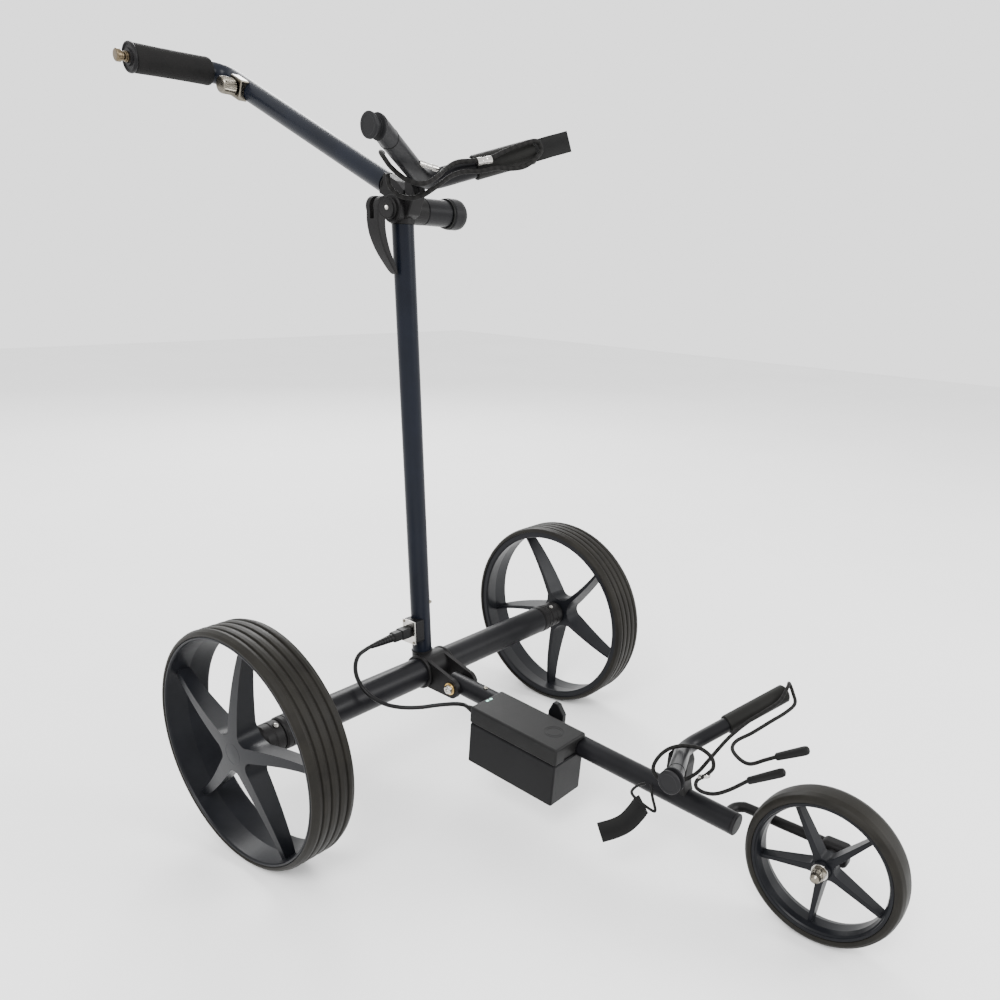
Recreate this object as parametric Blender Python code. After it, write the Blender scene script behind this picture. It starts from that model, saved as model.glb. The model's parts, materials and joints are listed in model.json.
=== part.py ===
"""Folding electric golf bag trolley: two driven rear wheels on a tubular axle, an upright
column with a fold-down tiller handle, a hinged frame tube with a battery box, two V-shaped
bag supports and a single front wheel on a one-sided arm.

Metres, +Z up. X runs along the rear axle, the front wheel points to -Y, the handle to +Y.
The origin is on the floor under the middle of the trolley.
"""
import math

import bmesh
import bpy
from mathutils import Matrix, Vector

for old in list(bpy.data.objects):
    bpy.data.objects.remove(old, do_unlink=True)

# ---------------------------------------------------------------- driving dimensions
Y_SHIFT = 0.1449  # from the rear axle to the middle of the trolley's length
GAP = 0.0003  # running gap between touching pieces

REAR_R = 0.1450  # rear wheel radius
REAR_OUT = 0.3033  # outer face of a rear wheel, from the middle plane
REAR_IN = 0.2483  # inner face of a rear wheel
RIM_R = 0.1374
SPOKES = 5
SPOKE_TURN_R = 22.0  # degrees, direction of the first spoke of each wheel
SPOKE_TURN_L = 65.0
SPOKE_TURN_F = 59.0

AXLE_Z = REAR_R
AXLE_R = 0.0198
AXLE_BORE = 0.0178
AXLE_END = 0.2257
RING_END = 0.2445
COLLAR_END = 0.2712
SHAFT_R = 0.0042
BUTTON_X = 0.2515
BUTTON_ANGLE = 116.0  # round the axle, from +Y up

COLUMN_R = 0.0131
COLUMN_BORE = 0.0117
COLUMN_FOOT = (0.0, 0.0176, 0.1672)
COLUMN_TOP = (0.0, 0.0282, 0.7150)

HEAD = (0.0, 0.0285, 0.7315)  # handle pivot
HEAD_R = 0.0160
HANDLE_SLOPE = math.atan(0.4402)
HANDLE_LIFT = 0.0167  # handle axis above the pivot, square to the handle
HANDLE_R = 0.0130
GRIP_DIR = (-0.9975, 0.0690, -0.0150)  # the grip runs sideways, towards the right wheel
BEND = (0.0, 0.3592, 0.8953)  # where the two straight runs of the handle meet
BEND_R = 0.0225  # bend radius of the tube's middle line
GRIP_FROM, GRIP_TO = 0.0225, 0.1193  # both ends of the grip, from the bend
GRIP_R_IN, GRIP_R_END = 0.0162, 0.0166

FRAME_SLOPE = math.atan(0.0896)
BOLT = (0.0, -0.0550, 0.1360)  # fold bolt of the frame tube
FRAME_R = 0.0129
FRAME_LEN = 0.4286  # fold bolt to front end

FRONT_R = 0.0898
FRONT_C = (0.0040, -0.5847, 0.0898)

UP_V = Vector((0.0, -0.0095, 0.7610))  # middle of the upper bag support
UP_ARM = Vector((0.1180, -0.0576, 0.0429))
LOW_V = Vector((0.0, -0.4060, 0.1674))
LOW_ARM = Vector((0.1250, -0.0594, 0.0392))
UP_R, LOW_R = 0.0112, 0.0090

BOX_W = (-0.0570, 0.0020)  # battery box, across
BOX_S = (0.0720, 0.2120)  # battery box, along the frame tube from the fold bolt
BOX_H = (-0.0610, 0.0200)  # battery box, square to the frame tube
LID_SPLIT = -0.0030

# ---------------------------------------------------------------- collections, materials
col = bpy.data.collections.new("golf_trolley")
cut_col = bpy.data.collections.new("cutters")
bpy.context.scene.collection.children.link(col)
bpy.context.scene.collection.children.link(cut_col)

MATS = {}


def mat(name, rgb, rough, metal):
    m = bpy.data.materials.new(name)
    m.use_nodes = True
    b = m.node_tree.nodes.get("Principled BSDF")
    b.inputs["Base Color"].default_value = (*rgb, 1)
    b.inputs["Roughness"].default_value = rough
    b.inputs["Metallic"].default_value = metal
    m.diffuse_color = (*rgb, 1)
    MATS[name] = m
    return m


BLACK = dict(rgb=(0.035, 0.033, 0.034), rough=0.45, metal=0.6)
RUBBER = dict(rgb=(0.028, 0.027, 0.027), rough=0.8, metal=0.0)
PLASTIC = dict(rgb=(0.035, 0.035, 0.037), rough=0.55, metal=0.0)
STEEL = dict(rgb=(0.62, 0.61, 0.58), rough=0.28, metal=1.0)
CORD = dict(rgb=(0.02, 0.02, 0.02), rough=0.9, metal=0.0)


def to_world(p):
    return Vector((p[0], p[1] + Y_SHIFT, p[2]))


def finish(obj, look):
    m = mat("mat_" + obj.name, look["rgb"], look["rough"], look["metal"])
    obj.data.materials.clear()
    obj.data.materials.append(m)
    return obj


def from_bmesh(bm, name, matrix, look=None, cutter=False):
    bmesh.ops.remove_doubles(bm, verts=bm.verts, dist=1e-6)
    bmesh.ops.recalc_face_normals(bm, faces=bm.faces)
    me = bpy.data.meshes.new(name)
    bm.to_mesh(me)
    bm.free()
    ob = bpy.data.objects.new(name, me)
    ob.matrix_world = matrix
    if cutter:
        cut_col.objects.link(ob)
        ob.hide_render = True
        ob.display_type = "WIRE"
    else:
        col.objects.link(ob)
        finish(ob, look or BLACK)
    return ob


def axis_frame(origin, axis, up=(0, 0, 1)):
    """Matrix whose local Z is the given axis; local X is as near to `up` as it can be."""
    z = Vector(axis).normalized()
    x = Vector(up) - z * Vector(up).dot(z)
    if x.length < 1e-6:
        x = Vector((0, 1, 0)) - z * z.y
    x.normalize()
    y = z.cross(x)
    m = Matrix((x, y, z)).transposed().to_4x4()
    m.translation = to_world(origin)
    return m


def lathe(name, profile, origin, axis, steps, look=None, cutter=False, up=(0, 0, 1)):
    """Turns a closed profile of (distance along the axis, radius) points round the axis."""
    bm = bmesh.new()
    vs = [bm.verts.new((r, 0, t)) for t, r in profile]
    es = []
    for i, v in enumerate(vs):
        w = vs[(i + 1) % len(vs)]
        if v.co.x < 1e-9 and w.co.x < 1e-9:
            continue
        es.append(bm.edges.new((v, w)))
    bmesh.ops.spin(bm, geom=vs + es, cent=(0, 0, 0), axis=(0, 0, 1), dvec=(0, 0, 0),
                   angle=2 * math.pi, steps=steps, use_merge=True, use_duplicate=False)
    return from_bmesh(bm, name, axis_frame(origin, axis, up), look, cutter)


def rod(name, a, b, r, steps, look=None, cutter=False, r2=None):
    a, b = Vector(a), Vector(b)
    r2 = r if r2 is None else r2
    return lathe(name, [(0, 0), (0, r), ((b - a).length, r2), ((b - a).length, 0)],
                 a, b - a, steps, look, cutter)


def block(name, lo, hi, look=None, cutter=False, matrix=None, bevel=0.0, segments=2):
    """Box between two corners, in the frame of `matrix` (the trolley's own if None)."""
    bm = bmesh.new()
    bmesh.ops.create_cube(bm, size=1.0)
    lo, hi = Vector(lo), Vector(hi)
    bmesh.ops.scale(bm, vec=hi - lo, verts=bm.verts)
    bmesh.ops.translate(bm, vec=(lo + hi) / 2, verts=bm.verts)
    if bevel:
        bmesh.ops.bevel(bm, geom=list(bm.edges), offset=bevel, segments=segments,
                        profile=0.5, affect="EDGES")
    if matrix is None:
        matrix = Matrix.Translation((0, Y_SHIFT, 0))
    return from_bmesh(bm, name, matrix, look, cutter)


def prism_x(name, outline, x0, x1, look=None, cutter=False, bevel=0.0):
    """Outline of (y, z) points in the side view, pushed from x0 to x1."""
    bm = bmesh.new()
    vs = [bm.verts.new((x0, y, z)) for y, z in outline]
    face = bm.faces.new(vs)
    out = bmesh.ops.extrude_face_region(bm, geom=[face])
    moved = [g for g in out["geom"] if isinstance(g, bmesh.types.BMVert)]
    bmesh.ops.translate(bm, vec=(x1 - x0, 0, 0), verts=moved)
    if bevel:
        bmesh.ops.bevel(bm, geom=list(bm.edges), offset=bevel, segments=1, profile=0.5,
                        affect="EDGES")
    return from_bmesh(bm, name, Matrix.Translation((0, Y_SHIFT, 0)), look, cutter)


def boolean(ob, other, how="DIFFERENCE"):
    m = ob.modifiers.new(how.lower() + "_" + other.name, "BOOLEAN")
    m.operation = how
    m.solver = "EXACT"
    m.object = other
    return ob


def smooth_path(points, per=4):
    """Centripetal-free Catmull-Rom curve through the points, as a list of vectors."""
    pts = [Vector(p) for p in points]
    ext = [pts[0] * 2 - pts[1]] + pts + [pts[-1] * 2 - pts[-2]]
    out = []
    for i in range(1, len(ext) - 2):
        p0, p1, p2, p3 = ext[i - 1 : i + 3]
        for k in range(per):
            t = k / per
            out.append(0.5 * ((2 * p1) + (p2 - p0) * t + (2 * p0 - 5 * p1 + 4 * p2 - p3) * t * t
                              + (3 * p1 - p0 - 3 * p2 + p3) * t ** 3))
    out.append(pts[-1])
    return out


def tube(name, points, r, look=None, resolution=2, radii=None, cutter=False):
    """Round bar along a path of points, with capped ends."""
    cu = bpy.data.curves.new(name + "_path", "CURVE")
    cu.dimensions = "3D"
    cu.bevel_depth = r
    cu.bevel_resolution = resolution
    cu.use_fill_caps = True
    sp = cu.splines.new("POLY")
    sp.points.add(len(points) - 1)
    for i, p in enumerate(points):
        w = to_world(p)
        sp.points[i].co = (w.x, w.y, w.z, 1)
        sp.points[i].radius = 1.0 if radii is None else radii[i]
    tmp = bpy.data.objects.new(name + "_curve", cu)
    cut_col.objects.link(tmp)
    bpy.context.view_layer.update()
    graph = bpy.context.evaluated_depsgraph_get()
    me = bpy.data.meshes.new_from_object(tmp.evaluated_get(graph))
    bpy.data.objects.remove(tmp, do_unlink=True)
    bm = bmesh.new()
    bm.from_mesh(me)
    bpy.data.meshes.remove(me)
    return from_bmesh(bm, name, Matrix.Identity(4), look, cutter)


def set_origin(ob, p):
    """Moves the object's origin to a point on its joint axis, leaving its shape in place."""
    w = to_world(p)
    shift = ob.matrix_world.inverted() @ w
    ob.data.transform(Matrix.Translation(-shift))
    ob.matrix_world = ob.matrix_world @ Matrix.Translation(shift)
    return ob


# ---------------------------------------------------------------- axle and its drives
X = (1, 0, 0)
AX = (0.0, 0.0, AXLE_Z)

lathe("axle_tube", [(-AXLE_END, AXLE_BORE), (AXLE_END, AXLE_BORE), (AXLE_END, AXLE_R),
                    (-AXLE_END, AXLE_R)], AX, X, 24)

for side, tag, turn in ((-1, "right", SPOKE_TURN_R), (1, "left", SPOKE_TURN_L)):
    D = (side, 0, 0)
    lathe("motor_" + tag, [(0.090, 0), (0.090, 0.0150), (0.094, 0.0172), (0.2120, 0.0172),
                           (0.2150, 0.0120), (0.2150, 0)], AX, D, 16,
          dict(rgb=(0.35, 0.35, 0.36), rough=0.4, metal=0.9))
    lathe("axle_end_ring_" + tag,
          [(0.2185, SHAFT_R + 0.0001), (0.2185, 0.0172), (AXLE_END + GAP, 0.0172),
           (AXLE_END + GAP, 0.0200), (0.2290, 0.0205), (0.2420, 0.0200), (RING_END, 0.0190),
           (RING_END, SHAFT_R + 0.0001)], AX, D, 20)
    hub = lathe("drive_coupling_" + tag,
                [(0.2160, 0), (0.2160, SHAFT_R), (RING_END + GAP, SHAFT_R),
                 (RING_END + GAP, 0.0182), (0.2465, 0.0190), (0.2680, 0.0190),
                 (COLLAR_END, 0.0175), (COLLAR_END, 0.0070), (0.2920, 0.0070), (0.2920, 0)],
                AX, D, 20)
    a = math.radians(BUTTON_ANGLE)
    radial = Vector((0, math.cos(a), math.sin(a)))
    at = Vector(AX) + Vector(D) * BUTTON_X
    boolean(hub, rod("cut_button_" + tag, at + radial * 0.0120, at + radial * 0.0300, 0.0034,
                     12, cutter=True))
    lathe("release_button_" + tag, [(0.0150, 0), (0.0150, 0.0031), (0.0205, 0.0031),
                                    (0.0214, 0.0022), (0.0216, 0)], at, radial, 12, STEEL)

    # wheel: rim band, hub and five tapering spokes
    rim = lathe("rim_" + tag,
                [(0.2500, 0.1295), (0.2500, RIM_R), (0.3022, RIM_R), (0.3022, 0.1350),
                 (0.2780, 0.1345), (0.2560, 0.1290)], AX, D, 32, PLASTIC)
    boolean(rim, lathe("add_hub_" + tag,
                       [(COLLAR_END + GAP, 0.0073), (COLLAR_END + GAP, 0.0150),
                        (0.2900, 0.0165), (0.3015, 0.0165), (0.3030, 0.0150), (0.3030, 0),
                        (0.2925, 0), (0.2925, 0.0073)], AX, D, 20, cutter=True), "UNION")
    for k in range(SPOKES):
        t = math.radians(turn + 360.0 * k / SPOKES)
        out = Vector((0, math.cos(t), math.sin(t)))
        bm = bmesh.new()
        rings = []
        # (distance out, inner face, outer face, half width)
        for rr, xa, xb, hw in ((0.0110, 0.2730, 0.3020, 0.0095), (0.0300, 0.2745, 0.3005, 0.0068),
                               (0.0850, 0.2760, 0.2960, 0.0048), (0.1360, 0.2740, 0.2890, 0.0045)):
            wide = Vector((0, -out.z, out.y)) * hw
            rings.append([bm.verts.new(Vector((side * x_, 0, 0)) + out * rr + wide * s_)
                          for x_, s_ in ((xa, -1), (xb, -1), (xb, 1), (xa, 1))])
        bm.faces.new(rings[0])
        bm.faces.new(rings[-1])
        for r0, r1 in zip(rings, rings[1:]):
            for i in range(4):
                bm.faces.new((r0[i], r0[(i + 1) % 4], r1[(i + 1) % 4], r1[i]))
        spoke = from_bmesh(bm, "add_spoke_%s_%d" % (tag, k),
                           Matrix.Translation(to_world(AX)), cutter=True)
        boolean(rim, spoke, "UNION")

    tread = [(REAR_IN, RIM_R + GAP), (REAR_IN, 0.1405), (0.2510, 0.1436)]
    for g in (0.2590, 0.2700, 0.2816, 0.2926):
        tread += [(g - 0.0010, REAR_R - 0.0002), (g, REAR_R - 0.0016), (g + 0.0010, REAR_R)]
    tread += [(0.3005, 0.1436), (REAR_OUT, 0.1405), (REAR_OUT, RIM_R + GAP)]
    lathe("tyre_" + tag, tread, AX, D, 32, RUBBER)

# ---------------------------------------------------------------- hub casting, column
casting = lathe("hub_casting", [(-0.0240, AXLE_R + GAP), (-0.0240, 0.0230), (-0.0205, 0.0234),
                                (-0.0190, 0.0222), (0.0185, 0.0222), (0.0200, 0.0234),
                                (0.0235, 0.0230), (0.0235, AXLE_R + GAP)], AX, X, 24)
ear = [(BOLT[1] + 0.0142 * math.cos(math.radians(d)), BOLT[2] + 0.0142 * math.sin(math.radians(d)))
       for d in (95, 120, 150, 180, 210, 240, 265)]
ear += [(-0.0080, AXLE_Z - 0.0205), (-0.0080, AXLE_Z + 0.0205)]
for side in (-1, 1):
    x0, x1 = sorted((side * 0.0134, side * 0.0190))
    boolean(casting, prism_x("add_ear_%d" % (side + 1), ear, x0, x1, cutter=True), "UNION")
foot = Vector(COLUMN_FOOT)
lean = (Vector(COLUMN_TOP) - foot).normalized()
boolean(casting, lathe("add_socket", [(-0.0220, 0), (-0.0220, 0.0134), (-0.0008, 0.0142),
                                      (-GAP, 0.0136), (-GAP, 0.0112), (0.0180, 0.0112),
                                      (0.0180, 0)], foot, lean, 24, cutter=True), "UNION")
boolean(casting, rod("cut_axle", (-0.05, 0, AXLE_Z), (0.05, 0, AXLE_Z), AXLE_R + GAP, 24,
                     cutter=True))
boolean(casting, rod("cut_bolt_ears", (-0.05, BOLT[1], BOLT[2]), (0.05, BOLT[1], BOLT[2]),
                     0.0043, 14, cutter=True))

length = (Vector(COLUMN_TOP) - foot).length
lathe("column_tube", [(0, COLUMN_BORE), (0, COLUMN_R), (length, COLUMN_R),
                      (length, COLUMN_BORE)], foot, lean, 24)

# ---------------------------------------------------------------- column head
O = Vector(HEAD)
top = Vector(COLUMN_TOP)
head = lathe("column_head", [(-0.0180, 0), (-0.0180, 0.0148), (-0.0168, HEAD_R),
                             (0.0290, HEAD_R), (0.0300, 0.0152), (0.0300, 0)], O, X, 28)
boolean(head, lathe("add_neck", [(-0.0180, 0), (-0.0180, 0.0112), (GAP, 0.0112), (GAP, 0.0138),
                                 (0.0140, 0.0138), (0.0140, 0)], top, lean, 24, cutter=True),
        "UNION")
# arm that carries the upper bag support
seat = [(O.y - 0.0050, O.z - 0.0145), (O.y - 0.0050, O.z + 0.0060), (O.y - 0.0149, O.z + 0.0075),
        (O.y - 0.0152, O.z + 0.0285), (O.y - 0.0250, O.z + 0.0400), (O.y - 0.0330, O.z + 0.0330),
        (O.y - 0.0290, O.z + 0.0120), (O.y - 0.0200, O.z - 0.0060)]
boolean(head, prism_x("add_seat", seat, -0.0095, 0.0095, cutter=True), "UNION")


def polar(deg, r):
    return (O.y + r * math.cos(math.radians(deg)), O.z + r * math.sin(math.radians(deg)))


slot = [(O.y, O.z)] + [polar(d, 0.030) for d in (-57, -20, 20, 60, 100, 126)]
boolean(head, prism_x("cut_slot", slot, -0.0088, 0.0088, cutter=True))
boolean(head, rod("cut_slot_round", (-0.0088, O.y, O.z), (0.0088, O.y, O.z), 0.0126, 20,
                  cutter=True))
boolean(head, rod("cut_skewer_head", (-0.03, O.y, O.z), (0.04, O.y, O.z), 0.0032, 14,
                  cutter=True))

lathe("head_barrel_tube", [(0.0303, 0.0034), (0.0303, 0.0153), (0.0315, 0.0158),
                           (0.0780, 0.0158), (0.0780, 0.0034)], O, X, 24)
lathe("head_barrel_cap", [(0.0720, 0.0161), (0.0720, 0.0176), (0.0735, 0.0184),
                          (0.0880, 0.0184), (0.0930, 0.0165), (0.0950, 0.0110), (0.0955, 0),
                          (0.0784, 0), (0.0784, 0.0161)], O, X, 20, RUBBER)

# clamp: skewer with an eye, cam lever and its pivot pin
PIN_X = -0.0340
skewer = rod("clamp_skewer", (PIN_X, O.y, O.z), (0.0770, O.y, O.z), 0.0030, 14, STEEL)
boolean(skewer, lathe("add_eye", [(-0.0030, 0), (-0.0030, 0.0042), (0.0030, 0.0042),
                                  (0.0030, 0)], (PIN_X, O.y, O.z), (0, 1, 0), 16, cutter=True),
        "UNION")
boolean(skewer, rod("cut_eye", (PIN_X, O.y - 0.01, O.z), (PIN_X, O.y + 0.01, O.z), 0.0022, 12,
                    cutter=True))
rod("lever_pin", (PIN_X, O.y - 0.0118, O.z), (PIN_X, O.y + 0.0118, O.z), 0.0021, 12, STEEL)


lever = lathe("clamp_lever", [(-0.0110, 0), (-0.0110, 0.0112), (-0.0102, 0.0122),
                              (0.0102, 0.0122), (0.0110, 0.0112), (0.0110, 0)],
              (PIN_X, O.y, O.z), (0, 1, 0), 20)
bm = bmesh.new()
rings = []
# height, outer face, inner face, half width, middle in y
for z, xo, xi, hw, yc in ((0.7350, -0.0455, -0.0300, 0.0105, 0.0285),
                          (0.7180, -0.0462, -0.0345, 0.0105, 0.0285),
                          (0.7020, -0.0440, -0.0335, 0.0100, 0.0282),
                          (0.6870, -0.0385, -0.0290, 0.0090, 0.0275),
                          (0.6740, -0.0310, -0.0225, 0.0078, 0.0265),
                          (0.6630, -0.0235, -0.0180, 0.0065, 0.0255),
                          (0.6590, -0.0195, -0.0170, 0.0045, 0.0250)):
    rings.append([bm.verts.new((x_, yc + s_ * hw, z)) for x_, s_ in
                  ((xo, -1), (xi, -1), (xi, 1), (xo, 1))])
bm.faces.new(rings[0])
bm.faces.new(rings[-1])
for r0, r1 in zip(rings, rings[1:]):
    for i in range(4):
        bm.faces.new((r0[i], r0[(i + 1) % 4], r1[(i + 1) % 4], r1[i]))
boolean(lever, from_bmesh(bm, "add_blade", Matrix.Translation((0, Y_SHIFT, 0)), cutter=True),
        "UNION")
boolean(lever, block("cut_fork", (PIN_X - 0.0200, O.y - 0.0033, O.z - 0.0128),
                     (PIN_X + 0.0200, O.y + 0.0033, O.z + 0.0200), cutter=True))
boolean(lever, rod("cut_pin_hole", (PIN_X, O.y - 0.02, O.z), (PIN_X, O.y + 0.02, O.z), 0.0022,
                   12, cutter=True))
set_origin(lever, (PIN_X, O.y, O.z))

# ---------------------------------------------------------------- charging socket on the column
sock = block("power_socket", (-0.0225, 0.0045, 0.1850), (-0.0060, 0.0290, 0.2165), PLASTIC,
             bevel=0.0015, segments=1)
boolean(sock, rod("cut_socket_column", foot, top, COLUMN_R + GAP, 24, cutter=True))
boolean(sock, block("cut_socket_mouth", (-0.0300, 0.0095, 0.1960), (-0.0170, 0.0215, 0.2080),
                    cutter=True))
flange = block("socket_flange", (-0.0248, 0.0035, 0.1840), (-0.0228, 0.0275, 0.2175), STEEL,
               bevel=0.0006, segments=1)
boolean(flange, block("cut_flange_mouth", (-0.0300, 0.0095, 0.1960), (-0.0170, 0.0215, 0.2080),
                      cutter=True))

# ---------------------------------------------------------------- handle
u = Vector((0, math.cos(HANDLE_SLOPE), math.sin(HANDLE_SLOPE)))
n = Vector((0, -u.z, u.y))


def on_handle(s, lift):
    q = O + u * s + n * lift
    return (q.y, q.z)


lug = prism_x("handle_lug", [on_handle(0.0325, 0.0050), on_handle(0.0325, 0.0290),
                             on_handle(0.0100, 0.0285), on_handle(-0.0050, 0.0240),
                             on_handle(-0.0080, 0.0170), on_handle(-0.0040, 0.0120),
                             on_handle(0.0060, 0.0050)], -0.0110, 0.0110)
boolean(lug, rod("cut_lug_barrel", (-0.03, O.y, O.z), (0.03, O.y, O.z), 0.0164, 28,
                 cutter=True))
boolean(lug, rod("add_tongue", (-0.0085, O.y, O.z), (0.0085, O.y, O.z), 0.0122, 20,
                 cutter=True), "UNION")
boolean(lug, prism_x("add_web", [on_handle(0.0040, 0.0), on_handle(0.0200, 0.0065),
                                 on_handle(0.0180, 0.0200), on_handle(-0.0005, 0.0200),
                                 on_handle(-0.0030, 0.0110), on_handle(-0.0060, 0.0060)], -0.0085, 0.0085, cutter=True),
        "UNION")
boolean(lug, rod("add_spigot", O + u * 0.0300 + n * HANDLE_LIFT,
                 O + u * 0.0322 + n * HANDLE_LIFT, 0.0118, 20, cutter=True), "UNION")
boolean(lug, rod("cut_skewer_lug", (-0.03, O.y, O.z), (0.03, O.y, O.z), 0.0032, 14,
                 cutter=True))
set_origin(lug, O)

start = O + u * 0.0330 + n * HANDLE_LIFT
bend = Vector(BEND)
g = Vector(GRIP_DIR).normalized()
turn = math.acos(u.dot(g))
side = (g - u * g.dot(u)).normalized()
back_off = BEND_R * math.tan(turn / 2)
arc_0 = bend - u * back_off
pts = [start, arc_0]
for k in range(1, 7):
    t = turn * k / 7
    pts.append(arc_0 + side * BEND_R * (1 - math.cos(t)) + u * BEND_R * math.sin(t))
pts += [bend + g * back_off, bend + g * (GRIP_TO - 0.0096)]
tube("handle_tube", pts, HANDLE_R, resolution=3)

gi, go = GRIP_FROM, GRIP_TO
lathe("grip", [(gi, HANDLE_R + GAP), (gi, 0.0150), (gi + 0.0015, 0.0162), (gi + 0.0100, 0.0165),
               (gi + 0.0400, GRIP_R_IN), (go - 0.0300, GRIP_R_IN), (go - 0.0030, GRIP_R_END),
               (go, 0.0158), (go, HANDLE_R + GAP)], BEND, g, 20, RUBBER)
lathe("grip_end_cap", [(go + GAP, 0.0064), (go + GAP, 0.0168), (go + 0.0015, 0.0175),
                       (go + 0.0040, 0.0171), (go + 0.0055, 0.0155), (go + 0.0055, 0.0064)],
      BEND, g, 18)
lathe("speed_stem", [(go - 0.0020, 0), (go - 0.0020, 0.0062), (go + 0.0090, 0.0062),
                     (go + 0.0105, 0.0040), (go + 0.0165, 0.0040), (go + 0.0165, 0)], BEND, g, 16,
      dict(rgb=(0.42, 0.36, 0.26), rough=0.35, metal=1.0))
lathe("speed_knob", [(go + 0.0112, 0.0041), (go + 0.0112, 0.0058), (go + 0.0140, 0.0060),
                     (go + 0.0148, 0.0074), (go + 0.0190, 0.0074), (go + 0.0200, 0.0062),
                     (go + 0.0200, 0), (go + 0.0168, 0), (go + 0.0168, 0.0041)], BEND, g, 16,
      dict(rgb=(0.42, 0.36, 0.26), rough=0.35, metal=1.0))

# accessory mount on the handle tube
ACC = Vector((0.0, 0.3120, 0.8745))
saddle = block("accessory_saddle", (-0.0195, -0.0120, -0.0125), (-0.0070, 0.0120, 0.0125), STEEL,
               matrix=Matrix.Translation(to_world(ACC)) @ Matrix.Rotation(HANDLE_SLOPE, 4, "X"),
               bevel=0.0010, segments=1)
boolean(saddle, rod("cut_saddle", ACC - u * 0.03, ACC + u * 0.03, HANDLE_R + 2 * GAP, 32,
                    cutter=True))
boolean(saddle, rod("add_saddle_stud", ACC - Vector((0.0180, 0, 0)), ACC - Vector((0.0330, 0, 0)),
                    0.0030, 12, cutter=True), "UNION")
lathe("accessory_knob", [(0.0205, 0.0031), (0.0205, 0.0085), (0.0225, 0.0100), (0.0375, 0.0100),
                         (0.0395, 0.0085), (0.0398, 0), (0.0334, 0), (0.0334, 0.0031)],
      ACC, (-1, 0, 0), 18, STEEL)

# ---------------------------------------------------------------- bag supports
def support(name, v, arm, r, end, res=3):
    b = 0.16
    left = Vector((-arm.x, arm.y, arm.z))
    pts = [v + left * (end + 0.09), v + left * b]
    for k in range(1, 5):
        t = k / 5
        pts.append((v + left * b) * (1 - t) ** 2 + v * 2 * t * (1 - t) + (v + arm * b) * t * t)
    pts += [v + arm * b, v + arm * 0.99]
    ob = tube(name, pts, r, resolution=res)
    # the left end is sawn off square to the axle, where the cord spool sits
    t = v + left * end
    boolean(ob, block("cut_end_" + name, (t.x - 0.06, t.y - 0.05, t.z - 0.05),
                      (t.x, t.y + 0.05, t.z + 0.05), cutter=True))
    return ob


def spool(name, v, arm, end, neck, look=BLACK):
    t = v + Vector((-arm.x, arm.y, arm.z)) * end
    return lathe(name, [(GAP, 0), (GAP, 0.0126), (0.0010, 0.0131), (0.0026, 0.0131),
                        (0.0031, 0.0085), (neck, 0.0085), (neck + 0.0004, 0.0122),
                        (neck + 0.0014, 0.0128), (neck + 0.0032, 0.0128),
                        (neck + 0.0040, 0.0118), (neck + 0.0040, 0)], t, (-1, 0, 0), 20, look)


def sleeve(name, v, arm, t0, r0, r1):
    L = arm.length
    return lathe(name, [(L * t0, r0), (L * t0, r1 - 0.0008), (L * t0 + 0.0010, r1),
                        (L * 1.02, r1), (L * 1.03, r1 - 0.0015), (L * 1.03, 0), (L * 0.993, 0),
                        (L * 0.993, r0)], v, arm, 20, RUBBER)


support("upper_support_tube", UP_V, UP_ARM, UP_R, 0.93)
spool("upper_support_spool", UP_V, UP_ARM, 0.93, 0.0102)
sleeve("upper_support_sleeve", UP_V, UP_ARM, 0.46, UP_R + GAP, 0.0138)
for s_ in (-1, 1):
    d_ = Vector((s_ * UP_ARM.x, UP_ARM.y, UP_ARM.z))
    boolean(head, rod("cut_seat_%d" % (s_ + 1), UP_V - d_ * 0.10, UP_V + d_ * 0.5, UP_R + GAP,
                      24, cutter=True))

low = support("lower_support_tube", LOW_V, LOW_ARM, LOW_R, 0.875)
spool("lower_support_spool", LOW_V, LOW_ARM, 0.875, 0.0070)
sleeve("lower_support_sleeve", LOW_V, LOW_ARM, 0.42, LOW_R + GAP, 0.0112)

# ---------------------------------------------------------------- frame tube and battery
f = Vector((0, -math.cos(FRAME_SLOPE), -math.sin(FRAME_SLOPE)))
fn = Vector((0, -math.sin(FRAME_SLOPE), math.cos(FRAME_SLOPE)))
B = Vector(BOLT)


def on_frame(s, lift=0.0, x=0.0):
    return B + f * s + fn * lift + Vector((x, 0, 0))


frame = rod("frame_tube", on_frame(-0.0125), on_frame(FRAME_LEN - 0.0040), FRAME_R, 24)
boolean(frame, rod("cut_bolt_tube", (-0.03, B.y, B.z), (0.03, B.y, B.z), 0.0042, 14,
                   cutter=True))
lathe("frame_end_cap", [(GAP, 0), (GAP, FRAME_R), (0.0030, FRAME_R), (0.0040, FRAME_R - 0.0012),
                        (0.0040, 0)], on_frame(FRAME_LEN - 0.0040), f, 24, PLASTIC)
lathe("fold_bolt", [(-0.0255, 0), (-0.0255, 0.0050), (-0.0240, 0.0066), (-0.0212, 0.0066),
                    (-0.0212, 0.0040), (0.0193, 0.0040), (0.0193, 0.0066), (0.0240, 0.0066),
                    (0.0240, 0)], B, X, 14, STEEL)


# box frame: x across, y forward along the tube, z square to it
box_m = Matrix((Vector((1, 0, 0)), -f, fn)).transposed().to_4x4()
box_m.translation = to_world(B)


def in_box(x, s, h):
    return Vector((x, -s, h))


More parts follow.
